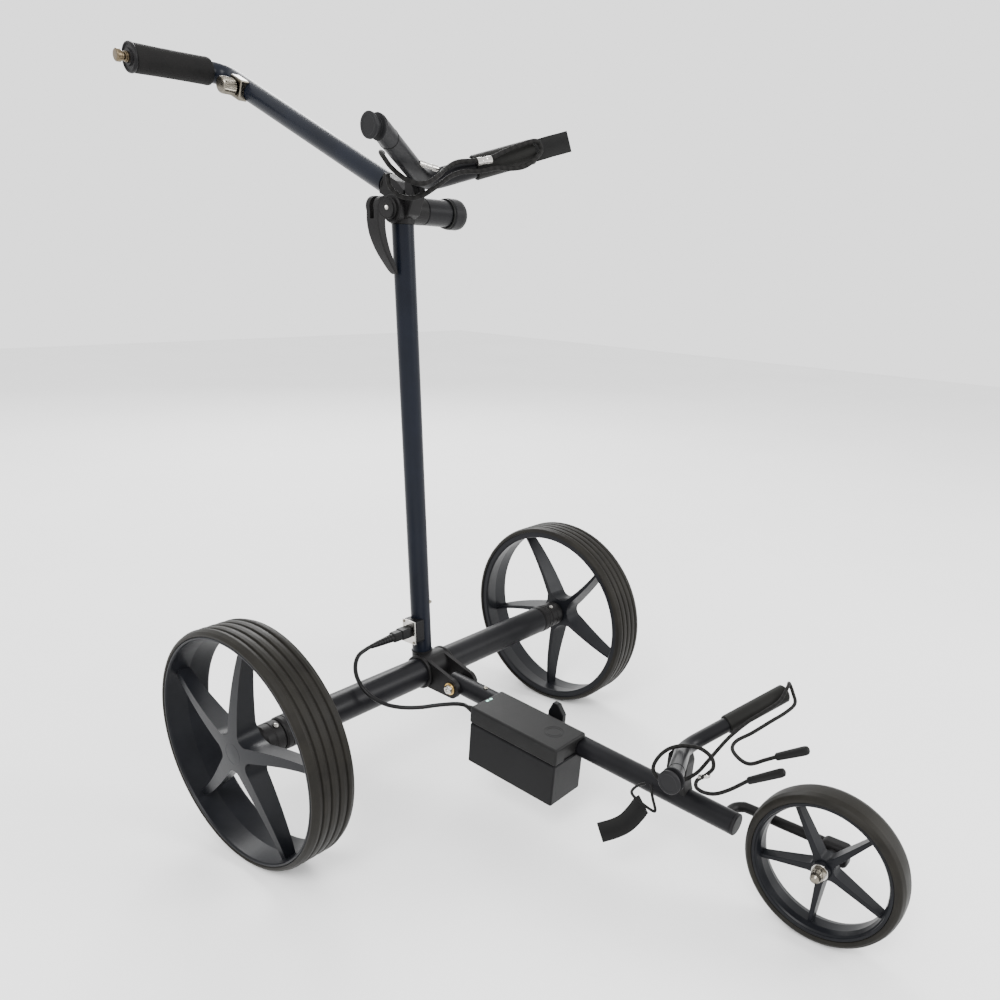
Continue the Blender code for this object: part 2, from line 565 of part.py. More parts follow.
case = block("battery_case", in_box(BOX_W[0] + 0.0010, BOX_S[1] - 0.0010, BOX_H[0]),
             in_box(BOX_W[1] - 0.0010, BOX_S[0] + 0.0010, LID_SPLIT - GAP), PLASTIC,
             matrix=box_m, bevel=0.0022)
lid = block("battery_lid", in_box(BOX_W[0], BOX_S[1], LID_SPLIT),
            in_box(BOX_W[1], BOX_S[0], BOX_H[1]), PLASTIC, matrix=box_m, bevel=0.0030)
tube_cut = rod("cut_tube_groove", on_frame(0.03), on_frame(0.26), FRAME_R + GAP, 24, cutter=True)
side_cut = block("cut_tube_side", in_box(0.0, 0.26, -FRAME_R - GAP),
                 in_box(0.02, 0.03, FRAME_R + GAP), cutter=True, matrix=box_m)
for piece in (case, lid):
    boolean(piece, tube_cut)
    boolean(piece, side_cut)
cavity = block("cut_case_cavity", in_box(BOX_W[0] + 0.0035, BOX_S[1] - 0.0035, BOX_H[0] + 0.0025),
               in_box(-0.0163, BOX_S[0] + 0.0035, 0.01), cutter=True, matrix=box_m)
boolean(case, cavity)
cavity2 = block("cut_lid_cavity", in_box(BOX_W[0] + 0.0035, BOX_S[1] - 0.0035, -0.01),
                in_box(-0.0163, BOX_S[0] + 0.0035, BOX_H[1] - 0.0028), cutter=True, matrix=box_m)
boolean(lid, cavity2)
# finger recess in the front of the lid
boolean(lid, block("cut_lid_recess", in_box(-0.0400, BOX_S[1] + 0.01, LID_SPLIT - 0.01),
                   in_box(0.01, BOX_S[1] - 0.0030, BOX_H[1] - 0.0060), cutter=True,
                   matrix=box_m))
block("battery_cells", in_box(BOX_W[0] + 0.0045, BOX_S[1] - 0.0045, BOX_H[0] + 0.0030),
      in_box(-0.0170, BOX_S[0] + 0.0045, BOX_H[1] - 0.0080),
      dict(rgb=(0.12, 0.16, 0.30), rough=0.5, metal=0.0), matrix=box_m, bevel=0.0010, segments=1)
latch = prism_x("battery_latch", [(q.y, q.z) for q in
                                  (on_frame(0.1420, -0.0050), on_frame(0.1420, 0.0160),
                                   on_frame(0.1480, 0.0300), on_frame(0.1560, 0.0300),
                                   on_frame(0.1660, 0.0180), on_frame(0.1660, -0.0050))],
                0.0134, 0.0210, PLASTIC, bevel=0.0008)

# ---------------------------------------------------------------- lower support bracket
post = prism_x("lower_support_bracket", [(q.y, q.z) for q in
               (on_frame(0.3280, 0.0040), on_frame(0.3340, 0.0180), on_frame(0.3330, 0.0540),
                on_frame(0.3400, 0.0620), on_frame(0.3550, 0.0600), on_frame(0.3595, 0.0500),
                on_frame(0.3600, 0.0200), on_frame(0.3660, 0.0040))], -0.0095, 0.0095,
               bevel=0.0015)
boolean(post, rod("cut_post_tube", on_frame(0.30), on_frame(0.42), FRAME_R + GAP, 24,
                  cutter=True))
boolean(post, block("cut_post_under", in_box(-0.02, 0.42, -0.03), in_box(0.02, 0.30, 0.0041),
                    cutter=True, matrix=box_m))
for s_ in (-1, 1):
    d_ = Vector((s_ * LOW_ARM.x, LOW_ARM.y, LOW_ARM.z))
    boolean(post, rod("cut_post_seat_%d" % (s_ + 1), LOW_V - d_ * 0.16, LOW_V + d_ * 0.5,
                      LOW_R + 3 * GAP, 24, cutter=True))

# ---------------------------------------------------------------- front wheel and its arm
F = Vector(FRONT_C)
lathe("front_tyre", [(-0.0142, 0.0789), (-0.0163, 0.0830), (-0.0152, 0.0868), (-0.0090, 0.0892),
                     (0, FRONT_R), (0.0090, 0.0892), (0.0152, 0.0868), (0.0163, 0.0830),
                     (0.0142, 0.0789)], F, X, 32, RUBBER)
frim = lathe("front_rim", [(-0.0148, 0.0752), (-0.0148, 0.0786), (0.0148, 0.0786),
                           (0.0148, 0.0752), (0.0100, 0.0720), (-0.0100, 0.0720)], F, X, 32,
             PLASTIC)
boolean(frim, lathe("add_front_hub", [(-0.0130, 0.0043), (-0.0130, 0.0105), (-0.0060, 0.0125),
                                      (0.0100, 0.0125), (0.0150, 0.0105), (0.0150, 0.0043)], F,
                    X, 20, cutter=True), "UNION")
for k in range(SPOKES):
    t = math.radians(SPOKE_TURN_F + 360.0 * k / SPOKES)
    out = Vector((0, math.cos(t), math.sin(t)))
    bm = bmesh.new()
    rings = []
    for rr, xa, xb, hw in ((0.0080, -0.0080, 0.0090, 0.0058), (0.0300, -0.0070, 0.0075, 0.0040),
                           (0.0735, -0.0055, 0.0055, 0.0026)):
        wide = Vector((0, -out.z, out.y)) * hw
        rings.append([bm.verts.new(Vector((x_, 0, 0)) + out * rr + wide * s_)
                      for x_, s_ in ((xa, -1), (xb, -1), (xb, 1), (xa, 1))])
    bm.faces.new(rings[0])
    bm.faces.new(rings[-1])
    for r0, r1 in zip(rings, rings[1:]):
        for i in range(4):
            bm.faces.new((r0[i], r0[(i + 1) % 4], r1[(i + 1) % 4], r1[i]))
    boolean(frim, from_bmesh(bm, "add_front_spoke_%d" % k, Matrix.Translation(to_world(F)),
                             cutter=True), "UNION")
boolean(frim, rod("cut_front_bore", F - Vector((0.03, 0, 0)), F + Vector((0.03, 0, 0)), 0.0043,
                  16, cutter=True))

lathe("front_axle", [(-0.0195, 0), (-0.0195, 0.0042), (0.0385, 0.0042), (0.0385, 0.0075),
                     (0.0430, 0.0070), (0.0440, 0.0050), (0.0440, 0)], F, X, 14, STEEL)
nut = lathe("front_axle_nut", [(-0.0133, 0.0043), (-0.0133, 0.0095), (-0.0146, 0.0095),
                               (-0.0148, 0.0078), (-0.0205, 0.0078), (-0.0210, 0.0062),
                               (-0.0270, 0.0058), (-0.0300, 0.0035), (-0.0306, 0), (-0.0198, 0),
                               (-0.0198, 0.0043)], F, X, 14, STEEL)

arm_y = on_frame(0.4100).y
arm_z = on_frame(0.4100).z
arm_pts = [(0.0136, arm_y, arm_z), (0.0210, arm_y, arm_z), (0.0275, arm_y - 0.0020, arm_z),
           (0.0325, arm_y - 0.0070, arm_z), (0.0348, arm_y - 0.0150, arm_z),
           (0.0350, -0.5500, 0.0968), (0.0350, -0.5800, 0.0950)]
arm = tube("front_arm", arm_pts, 0.0060, resolution=3)
boolean(arm, block("add_arm_block", (0.0235, -0.6010, 0.0780), (0.0420, -0.5690, 0.1045),
                   cutter=True, bevel=0.0050), "UNION")
boolean(arm, rod("add_arm_boss", (F.x + 0.0154, F.y, F.z), (0.0250, F.y, F.z), 0.0095, 18,
                 cutter=True), "UNION")
boolean(arm, rod("cut_arm_axle", (0.0, F.y, F.z), (0.06, F.y, F.z), 0.0045, 16, cutter=True))

# ---------------------------------------------------------------- battery lead and plug
GLAND = on_frame(BOX_S[0] - GAP, 0.0130, -0.0515)
lathe("battery_gland", [(0, 0.0), (0, 0.0042), (0.0040, 0.0040), (0.0080, 0.0031), (0.0080, 0)],
      GLAND, -f, 12, RUBBER)

PLUG = Vector((-0.0251, 0.0155, 0.2020))
plug = block("battery_plug", (PLUG.x - 0.0165, PLUG.y - 0.0070, PLUG.z - 0.0070),
             (PLUG.x, PLUG.y + 0.0070, PLUG.z + 0.0070), PLASTIC, bevel=0.0012, segments=1)
boolean(plug, block("add_plug_spigot", (PLUG.x - 0.0030, PLUG.y - 0.0055, PLUG.z - 0.0055),
                    (PLUG.x + 0.0076, PLUG.y + 0.0055, PLUG.z + 0.0055), cutter=True), "UNION")
boolean(plug, block("add_plug_body", (PLUG.x - 0.0300, PLUG.y - 0.0062, PLUG.z - 0.0068),
                    (PLUG.x - 0.0150, PLUG.y + 0.0062, PLUG.z + 0.0062), cutter=True,
                    bevel=0.0020), "UNION")
boolean(plug, lathe("add_plug_relief", [(0.0290, 0), (0.0290, 0.0056), (0.0400, 0.0052),
                                        (0.0640, 0.0030), (0.0640, 0)], PLUG, (-1, 0, -0.02), 14,
                    cutter=True), "UNION")

cable = [PLUG + Vector((-0.0645, 0, -0.0013)), PLUG + Vector((-0.0700, 0, -0.0018)),
         Vector((-0.1105, 0.0140, 0.1965)), Vector((-0.1215, 0.0080, 0.1895)),
         Vector((-0.1300, -0.0030, 0.1810)), Vector((-0.1350, -0.0180, 0.1725)),
         Vector((-0.1330, -0.0330, 0.1620)), Vector((-0.1220, -0.0460, 0.1510)),
         Vector((-0.1080, -0.0600, 0.1455)), Vector((-0.0940, -0.0780, 0.1460)),
         Vector((-0.0790, -0.0950, 0.1490)), Vector((-0.0640, -0.1080, 0.1490)),
         GLAND - f * 0.0160, GLAND - f * 0.0087]
tube("battery_lead", smooth_path(cable, 2), 0.0024, PLASTIC, resolution=2)

# ---------------------------------------------------------------- shock cords
C_R = 0.0026
upper = [(-0.0480, 0.0035, 0.7860), (-0.0600, -0.0070, 0.7850), (-0.0655, -0.0180, 0.7790),
         (-0.0635, -0.0270, 0.7690), (-0.0555, -0.0380, 0.7590), (-0.0440, -0.0455, 0.7550),
         (-0.0320, -0.0490, 0.7570), (-0.0160, -0.0490, 0.7650), (0.0060, -0.0400, 0.7755),
         (0.0251, -0.0393, 0.7839), (0.0424, -0.0500, 0.7870), (0.0589, -0.0580, 0.7914),
         (0.0757, -0.0660, 0.8005), (0.0935, -0.0740, 0.8088), (0.1135, -0.0808, 0.8152),
         (0.1202, -0.0838, 0.8068), (0.1092, -0.0838, 0.7957), (0.0955, -0.0790, 0.7860),
         (0.0800, -0.0710, 0.7820), (0.0642, -0.0630, 0.7813), (0.0475, -0.0545, 0.7766),
         (0.0287, -0.0440, 0.7738), (0.0130, -0.0400, 0.7680), (-0.0040, -0.0410, 0.7590),
         (-0.0180, -0.0405, 0.7510), (-0.0280, -0.0365, 0.7445), (-0.0380, -0.0280, 0.7410),
         (-0.0460, -0.0180, 0.7430), (-0.0500, -0.0080, 0.7520), (-0.0480, -0.0030, 0.7640)]
tube("upper_shock_cord", smooth_path(upper, 2), C_R, CORD, resolution=1)

ug = Vector((0, UP_ARM.y, UP_ARM.z)).normalized()
web_m = axis_frame(UP_V + UP_ARM * 1.035, UP_ARM)
block("upper_webbing", (-0.0120, -0.0012, 0.0004), (0.0120, 0.0012, 0.0500),
      dict(rgb=(0.03, 0.03, 0.032), rough=0.85, metal=0.0), matrix=web_m, bevel=0.0004, segments=1)

L_R = 0.0022
lower = [(-0.0107, -0.5215, 0.2047), (-0.0080, -0.5088, 0.1950), (0.0000, -0.4889, 0.1788),
         (0.0080, -0.4720, 0.1752), (0.0220, -0.4560, 0.1752), (0.0403, -0.4520, 0.1760),
         (0.0590, -0.4610, 0.1809), (0.0814, -0.4722, 0.1898), (0.1064, -0.4803, 0.1950),
         (0.1264, -0.4820, 0.1990), (0.1370, -0.4740, 0.2060), (0.1365, -0.4680, 0.2172),
         (0.1220, -0.4724, 0.2194), (0.1030, -0.4722, 0.2083), (0.0834, -0.4638, 0.2000),
         (0.0613, -0.4538, 0.1918), (0.0382, -0.4445, 0.1800), (0.0197, -0.4400, 0.1700),
         (0.0040, -0.4360, 0.1600), (-0.0120, -0.4310, 0.1500), (-0.0320, -0.4210, 0.1450),
         (-0.0480, -0.4080, 0.1490), (-0.0520, -0.3990, 0.1620), (-0.0460, -0.4010, 0.1750),
         (-0.0390, -0.4103, 0.1862), (-0.0325, -0.4247, 0.1920), (-0.0290, -0.4426, 0.1936),
         (-0.0290, -0.4567, 0.1878), (-0.0295, -0.4601, 0.1769), (-0.0300, -0.4526, 0.1652),
         (-0.0290, -0.4420, 0.1540), (-0.0260, -0.4400, 0.1430), (-0.0215, -0.4470, 0.1370),
         (-0.0180, -0.4600, 0.1385), (-0.0160, -0.4760, 0.1495), (-0.0155, -0.4951, 0.1676)]
tube("lower_shock_cord", smooth_path(lower, 2), L_R, CORD, resolution=1)
for tag, a, b in (("a", (-0.0108, -0.5219, 0.2050), (-0.0115, -0.5563, 0.2265)),
                  ("b", (-0.0155, -0.4957, 0.1680), (-0.0155, -0.5354, 0.1946))):
    a, b = Vector(a), Vector(b)
    L = (b - a).length
    lathe("cord_tab_" + tag, [(0, 0), (0, 0.0030), (0.0020, 0.0042), (L - 0.0050, 0.0050),
                              (L - 0.0010, 0.0040), (L, 0)], a, b - a, 10, RUBBER)

# ---------------------------------------------------------------- strap on the lower support
ring = [(-0.0225, -0.3800, 0.1205), (-0.0260, -0.3830, 0.1160), (-0.0283, -0.3865, 0.1085),
        (-0.0303, -0.3925, 0.0945), (-0.0340, -0.3870, 0.0965), (-0.0385, -0.3760, 0.1040),
        (-0.0412, -0.3680, 0.1105), (-0.0398, -0.3655, 0.1150), (-0.0330, -0.3690, 0.1200),
        (-0.0265, -0.3745, 0.1215)]
tube("strap_ring", [Vector(q) for q in ring], 0.0017, STEEL, resolution=1)
strap_pts = [Vector(q) for q in ((-0.0400, -0.3785, 0.1000), (-0.0476, -0.3775, 0.0952),
                                 (-0.0568, -0.3710, 0.0839), (-0.0641, -0.3602, 0.0751),
                                 (-0.0728, -0.3463, 0.0679))]
strap_wide = [Vector(q) for q in ((0.0072, -0.0202, -0.0153), (0.0069, -0.0181, -0.0126),
                                  (0.0024, -0.0123, -0.0140), (-0.0011, -0.0087, -0.0164),
                                  (-0.0054, -0.0031, -0.0176))]
bm = bmesh.new()
rings = []
for i, q in enumerate(strap_pts):
    d = (strap_pts[min(i + 1, len(strap_pts) - 1)] - strap_pts[max(i - 1, 0)]).normalized()
    w = strap_wide[i] - d * strap_wide[i].dot(d)
    w = w.normalized() * 0.0115
    th = d.cross(w).normalized() * 0.0009
    rings.append([bm.verts.new(q + w * a_ + th * b_) for a_, b_ in
                  ((-1, -1), (1, -1), (1, 1), (-1, 1))])
bm.faces.new(rings[0])
bm.faces.new(rings[-1])
for r0, r1 in zip(rings, rings[1:]):
    for i in range(4):
        bm.faces.new((r0[i], r0[(i + 1) % 4], r1[(i + 1) % 4], r1[i]))
from_bmesh(bm, "lower_strap", Matrix.Translation((0, Y_SHIFT, 0)),
           dict(rgb=(0.03, 0.03, 0.032), rough=0.85, metal=0.0))

bpy.context.view_layer.update()
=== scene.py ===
import json
import math

import bmesh
import bpy
from mathutils import Matrix, Vector


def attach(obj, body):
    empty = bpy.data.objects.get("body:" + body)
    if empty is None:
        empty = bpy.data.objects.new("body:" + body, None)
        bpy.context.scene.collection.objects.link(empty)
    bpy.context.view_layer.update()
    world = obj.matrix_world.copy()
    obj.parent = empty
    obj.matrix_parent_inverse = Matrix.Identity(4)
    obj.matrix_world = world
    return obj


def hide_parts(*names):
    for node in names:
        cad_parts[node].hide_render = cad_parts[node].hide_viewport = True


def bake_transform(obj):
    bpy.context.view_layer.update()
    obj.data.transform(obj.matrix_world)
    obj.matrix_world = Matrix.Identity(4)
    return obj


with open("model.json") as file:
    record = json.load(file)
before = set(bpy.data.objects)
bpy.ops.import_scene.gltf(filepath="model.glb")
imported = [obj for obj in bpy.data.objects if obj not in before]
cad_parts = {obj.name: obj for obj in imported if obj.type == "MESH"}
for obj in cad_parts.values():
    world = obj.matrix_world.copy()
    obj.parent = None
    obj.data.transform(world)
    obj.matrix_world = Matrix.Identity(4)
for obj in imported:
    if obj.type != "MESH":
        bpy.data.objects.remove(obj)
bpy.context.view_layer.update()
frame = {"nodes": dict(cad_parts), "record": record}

DY = 0.1449


def W(p):
    return Vector((p[0], p[1] + DY, p[2]))


# ================================================================ camera
cam_data = bpy.data.cameras.new("camera")
cam = bpy.data.objects.new("camera", cam_data)
bpy.context.scene.collection.objects.link(cam)
bpy.context.scene.camera = cam
AZ, EL, ROLL = math.radians(-55.7081), math.radians(19.4865), math.radians(2.6911)
back = Vector((math.sin(AZ) * math.cos(EL), -math.cos(AZ) * math.cos(EL), math.sin(EL)))
right0 = Vector((0, 0, 1)).cross(back).normalized()
up0 = back.cross(right0)
right = right0 * math.cos(ROLL) + up0 * math.sin(ROLL)
up = up0 * math.cos(ROLL) - right0 * math.sin(ROLL)
m = Matrix((right, up, back)).transposed().to_4x4()
m.translation = W((-0.7797, -0.8321, 0.6784))
cam.matrix_world = m
cam_data.sensor_width = 36.0
cam_data.lens = 31.824
cam_data.shift_x = -0.11446
cam_data.shift_y = 0.08028
cam_data.clip_start = 0.01
cam_data.clip_end = 100
cam_data.dof.use_dof = False


# ================================================================ materials
def material(name, rgb, rough, metal=0.0, spec=0.16, sheen=0.0, coat=0.0, coat_rough=0.2):
    mt = bpy.data.materials.new(name)
    mt.use_nodes = True
    b = mt.node_tree.nodes.get("Principled BSDF")
    b.inputs["Base Color"].default_value = (*rgb, 1)
    b.inputs["Roughness"].default_value = rough
    b.inputs["Metallic"].default_value = metal
    b.inputs["Specular IOR Level"].default_value = spec
    b.inputs["Sheen Weight"].default_value = sheen
    b.inputs["Coat Weight"].default_value = coat
    b.inputs["Coat Roughness"].default_value = coat_rough
    return mt, mt.node_tree, b


def node(nt, kind, **vals):
    n = nt.nodes.new(kind)
    for k, v in vals.items():
        if k in n.inputs:
            n.inputs[k].default_value = v
        else:
            setattr(n, k, v)
    return n


def coords(nt, uv=False):
    return nt.nodes.new("ShaderNodeTexCoord").outputs["UV" if uv else "Object"]


def vary(nt, b, src, scale, low, high, detail=4, rough_lo=None, rough_hi=None, stretch=None):
    """Colour between low and high by noise, and roughness with it."""
    vec = src
    if stretch:
        mp = node(nt, "ShaderNodeMapping")
        mp.inputs["Scale"].default_value = stretch
        nt.links.new(src, mp.inputs["Vector"])
        vec = mp.outputs["Vector"]
    nz = node(nt, "ShaderNodeTexNoise", Scale=scale, Detail=detail, Roughness=0.6)
    nt.links.new(vec, nz.inputs["Vector"])
    ramp = node(nt, "ShaderNodeValToRGB")
    ramp.color_ramp.elements[0].position = 0.3
    ramp.color_ramp.elements[1].position = 0.7
    ramp.color_ramp.elements[0].color = (*low, 1)
    ramp.color_ramp.elements[1].color = (*high, 1)
    nt.links.new(nz.outputs["Fac"], ramp.inputs["Fac"])
    nt.links.new(ramp.outputs["Color"], b.inputs["Base Color"])
    if rough_lo is not None:
        mr = node(nt, "ShaderNodeMapRange")
        mr.inputs["From Min"].default_value = 0.3
        mr.inputs["From Max"].default_value = 0.7
        mr.inputs["To Min"].default_value = rough_lo
        mr.inputs["To Max"].default_value = rough_hi
        nt.links.new(nz.outputs["Fac"], mr.inputs["Value"])
        nt.links.new(mr.outputs["Result"], b.inputs["Roughness"])
    return nz


def grain(nt, b, src, scale, strength, dist, kind="noise"):
    if kind == "noise":
        nz = node(nt, "ShaderNodeTexNoise", Scale=scale, Detail=3.0, Roughness=0.6)
        out = nz.outputs["Fac"]
    else:
        nz = node(nt, "ShaderNodeTexVoronoi", Scale=scale)
        out = nz.outputs["Distance"]
    nt.links.new(src, nz.inputs["Vector"])
    bp = node(nt, "ShaderNodeBump", Strength=strength, Distance=dist)
    nt.links.new(out, bp.inputs["Height"])
    nt.links.new(bp.outputs["Normal"], b.inputs["Normal"])
    return bp


def powder(name, lo=(0.016, 0.0155, 0.0165), hi=(0.024, 0.0232, 0.0242), r0=0.40, r1=0.50, sc=900):
    mt, nt, b = material(name, hi, 0.45, 0.0, 0.12)
    c = coords(nt)
    vary(nt, b, c, 14, lo, hi, rough_lo=r0, rough_hi=r1)
    grain(nt, b, c, sc, 0.12, 0.0004)
    return mt


M_POWDER = powder("powder_coat", (0.0042, 0.0040, 0.0044), (0.0068, 0.0064, 0.0070))
M_TUBE = powder("tube_coat", (0.0036, 0.0037, 0.0044), (0.0060, 0.0060, 0.0072), 0.31, 0.40)
# Column and handle tube coat: the near-black base is the coat's own colour; the blue tint in it is a painted
# reflection, standing in for a navy-blue highlight.
M_COLUMN_PAINTED_SHEEN = powder("column_coat_painted_blue_sheen", (0.0034, 0.0044, 0.0075), (0.0052, 0.0068, 0.0120), 0.28, 0.36)
M_CAST = powder("cast_coat", (0.0045, 0.0043, 0.0045), (0.0078, 0.0074, 0.0076), 0.40, 0.52, 600)


def plastic(name, lo, hi, r0, r1, sc=1400, st=0.10):
    mt, nt, b = material(name, hi, r1, 0.0, 0.12)
    c = coords(nt)
    vary(nt, b, c, 22, lo, hi, rough_lo=r0, rough_hi=r1)
    grain(nt, b, c, sc, st, 0.0003, "voronoi")
    return mt


M_RIM = plastic("rim_plastic", (0.0040, 0.0044, 0.0056), (0.0065, 0.0070, 0.0088), 0.32, 0.42)
M_BOX = plastic("box_plastic", (0.0032, 0.0032, 0.0036), (0.0054, 0.0054, 0.0060), 0.36, 0.46)
M_LID = plastic("lid_plastic", (0.0062, 0.0062, 0.0062), (0.0100, 0.0100, 0.0102), 0.40, 0.50, 1100, 0.16)
M_PLUG = plastic("plug_plastic", (0.0034, 0.0034, 0.0036), (0.0060, 0.0060, 0.0062), 0.30, 0.42)
M_KNOB = plastic("cap_plastic", (0.0065, 0.0065, 0.0072), (0.0105, 0.0105, 0.0115), 0.42, 0.55)


def rubber(name, lo, hi, r0, r1, sc=700, st=0.25, dust=None):
    mt, nt, b = material(name, hi, r1, 0.0, 0.10, sheen=0.0)
    c = coords(nt)
    vary(nt, b, c, 30, lo, hi, rough_lo=r0, rough_hi=r1)
    grain(nt, b, c, sc, st, 0.0004)
    return mt


M_TYRE = rubber("tyre_rubber", (0.0068, 0.0062, 0.0052), (0.0125, 0.0115, 0.0095), 0.42, 0.54)
M_GRIP = rubber("grip_rubber", (0.0045, 0.0043, 0.0043), (0.0085, 0.0082, 0.0080), 0.62, 0.8, 1200, 0.5)
M_SLEEVE = rubber("sleeve_rubber", (0.0050, 0.0050, 0.0046), (0.0092, 0.0090, 0.0082), 0.46, 0.6)
M_SOFT = rubber("soft_rubber", (0.0040, 0.0040, 0.0040), (0.0078, 0.0078, 0.0078), 0.45, 0.6)


def metal(name, lo, hi, r0, r1, stretch=None, sc=60):
    mt, nt, b = material(name, hi, r0, 1.0)
    c = coords(nt)
    vary(nt, b, c, sc, lo, hi, rough_lo=r0, rough_hi=r1, stretch=stretch)
    grain(nt, b, c, 1500, 0.06, 0.0002)
    return mt


M_STEEL = metal("bright_steel", (0.34, 0.33, 0.31), (0.55, 0.53, 0.50), 0.16, 0.28)
M_NICKEL = metal("worn_nickel", (0.10, 0.092, 0.075), (0.22, 0.20, 0.165), 0.18, 0.32)
M_BRASS = metal("washer_brass", (0.52, 0.33, 0.10), (0.72, 0.5, 0.2), 0.25, 0.38)
M_BRONZE = metal("stem_bronze", (0.080, 0.062, 0.038), (0.155, 0.122, 0.080), 0.26, 0.38)
M_WIRE = plastic("ring_coat", (0.0040, 0.0040, 0.0040), (0.0075, 0.0075, 0.0075), 0.35, 0.5)
M_MOTOR = metal("motor_steel", (0.15, 0.15, 0.16), (0.28, 0.28, 0.29), 0.35, 0.45)


def braid(name, lo, hi, along, around):
    """Crossed yarns of a woven cord sheath: u runs along the cord, v round it."""
    mt, nt, b = material(name, hi, 0.6, 0.0, 0.10, sheen=0.0)
    c = coords(nt, uv=True)
    sep = node(nt, "ShaderNodeSeparateXYZ")
    nt.links.new(c, sep.inputs[0])
    waves = []
    for sign in (1, -1):
        u_ = node(nt, "ShaderNodeMath", operation="MULTIPLY")
        u_.inputs[1].default_value = along * 2 * math.pi
        nt.links.new(sep.outputs["X"], u_.inputs[0])
        v_ = node(nt, "ShaderNodeMath", operation="MULTIPLY")
        v_.inputs[1].default_value = sign * around * 2 * math.pi
        nt.links.new(sep.outputs["Y"], v_.inputs[0])
        a_ = node(nt, "ShaderNodeMath", operation="ADD")
        nt.links.new(u_.outputs[0], a_.inputs[0])
        nt.links.new(v_.outputs[0], a_.inputs[1])
        s_ = node(nt, "ShaderNodeMath", operation="SINE")
        nt.links.new(a_.outputs[0], s_.inputs[0])
        waves.append(s_)
    mx = node(nt, "ShaderNodeMath", operation="MULTIPLY")
    nt.links.new(waves[0].outputs[0], mx.inputs[0])
    nt.links.new(waves[1].outputs[0], mx.inputs[1])
    mr = node(nt, "ShaderNodeMapRange")
    mr.inputs["From Min"].default_value = -1
    mr.inputs["From Max"].default_value = 1
    nt.links.new(mx.outputs[0], mr.inputs["Value"])
    ramp = node(nt, "ShaderNodeValToRGB")
    ramp.color_ramp.elements[0].color = (*lo, 1)
    ramp.color_ramp.elements[1].color = (*hi, 1)
    nt.links.new(mr.outputs["Result"], ramp.inputs["Fac"])
    nt.links.new(ramp.outputs["Color"], b.inputs["Base Color"])
    bp = node(nt, "ShaderNodeBump", Strength=0.6, Distance=0.0003)
    nt.links.new(mr.outputs["Result"], bp.inputs["Height"])
    nt.links.new(bp.outputs["Normal"], b.inputs["Normal"])
    return mt


M_CORD = braid("cord_sheath", (0.0020, 0.0020, 0.0020), (0.0105, 0.0100, 0.0095), 1.0, 6)
M_WEB = braid("webbing_weave", (0.0018, 0.0018, 0.0019), (0.0100, 0.0100, 0.0098), 1.0, 1)
M_LEAD = plastic("lead_jacket", (0.0036, 0.0036, 0.0038), (0.0062, 0.0062, 0.0064), 0.32, 0.42, 900, 0.05)

mt, nt, b = material("status_light", (0.35, 0.9, 0.75), 0.25)
c = coords(nt)
vary(nt, b, c, 200, (0.25, 0.8, 0.62), (0.75, 0.95, 0.88))
b.inputs["Emission Color"].default_value = (0.35, 0.95, 0.8, 1)
b.inputs["Emission Strength"].default_value = 0.5
M_LIGHT = mt


# ================================================================ shape helpers
BODY_OF = {n: bd for bd, ns in frame["record"]["behaviour"]["bodies"].items() for n in ns}
K = 4


def add_mesh(name, verts, faces, uvs=None):
    me = bpy.data.meshes.new(name)
    me.from_pydata([tuple(v) for v in verts], [], [tuple(f) for f in faces])
    if uvs is not None:
        layer = me.uv_layers.new(name="UVMap")
        for poly in me.polygons:
            for li in poly.loop_indices:
                layer.data[li].uv = uvs[li]
    me.validate()
    ob = bpy.data.objects.new(name, me)
    bpy.context.scene.collection.objects.link(ob)
    return ob


def from_bm(bm, name):
    bmesh.ops.remove_doubles(bm, verts=bm.verts, dist=1e-6)
    bmesh.ops.recalc_face_normals(bm, faces=bm.faces)
    me = bpy.data.meshes.new(name)
    bm.to_mesh(me)
    bm.free()
    ob = bpy.data.objects.new(name, me)
    bpy.context.scene.collection.objects.link(ob)
    return ob


def basis(origin, axis, upv=(0, 0, 1)):
    z = Vector(axis).normalized()
    x = Vector(upv) - z * Vector(upv).dot(z)
    if x.length < 1e-6:
        x = Vector((0, 1, 0)) - z * z.y
    x.normalize()
    y = z.cross(x)
    mm = Matrix((x, y, z)).transposed().to_4x4()
    mm.translation = W(origin)
    return mm


def fillet(profile, r, segs=4, closed=True):
    """Rounds each corner of a profile of (t, r) points by radius r, or by the third value of a point."""
    out = []
    n = len(profile)
    for i, p in enumerate(profile):
        rr = p[2] if len(p) > 2 else r
        a, b_, c_ = Vector(profile[i - 1][:2]), Vector(p[:2]), Vector(profile[(i + 1) % n][:2])
        if rr <= 0 or (not closed and i in (0, n - 1)) or b_.y < 1e-9:
            out.append(tuple(b_))
            continue
        d0, d1 = (a - b_), (c_ - b_)
        l0, l1 = d0.length, d1.length
        if l0 < 1e-9 or l1 < 1e-9:
            out.append(tuple(b_))
            continue
        d0, d1 = d0 / l0, d1 / l1
        ang = math.acos(max(-1, min(1, d0.dot(d1))))
        if ang > math.radians(172):
            out.append(tuple(b_))
            continue
        cut = min(rr / math.tan(ang / 2), l0 * 0.48, l1 * 0.48)
        p0, p1 = b_ + d0 * cut, b_ + d1 * cut
        for k in range(segs + 1):
            t = k / segs
            q = p0 * (1 - t) ** 2 + b_ * 2 * t * (1 - t) + p1 * t * t
            out.append((q.x, max(q.y, 0)))
    return out


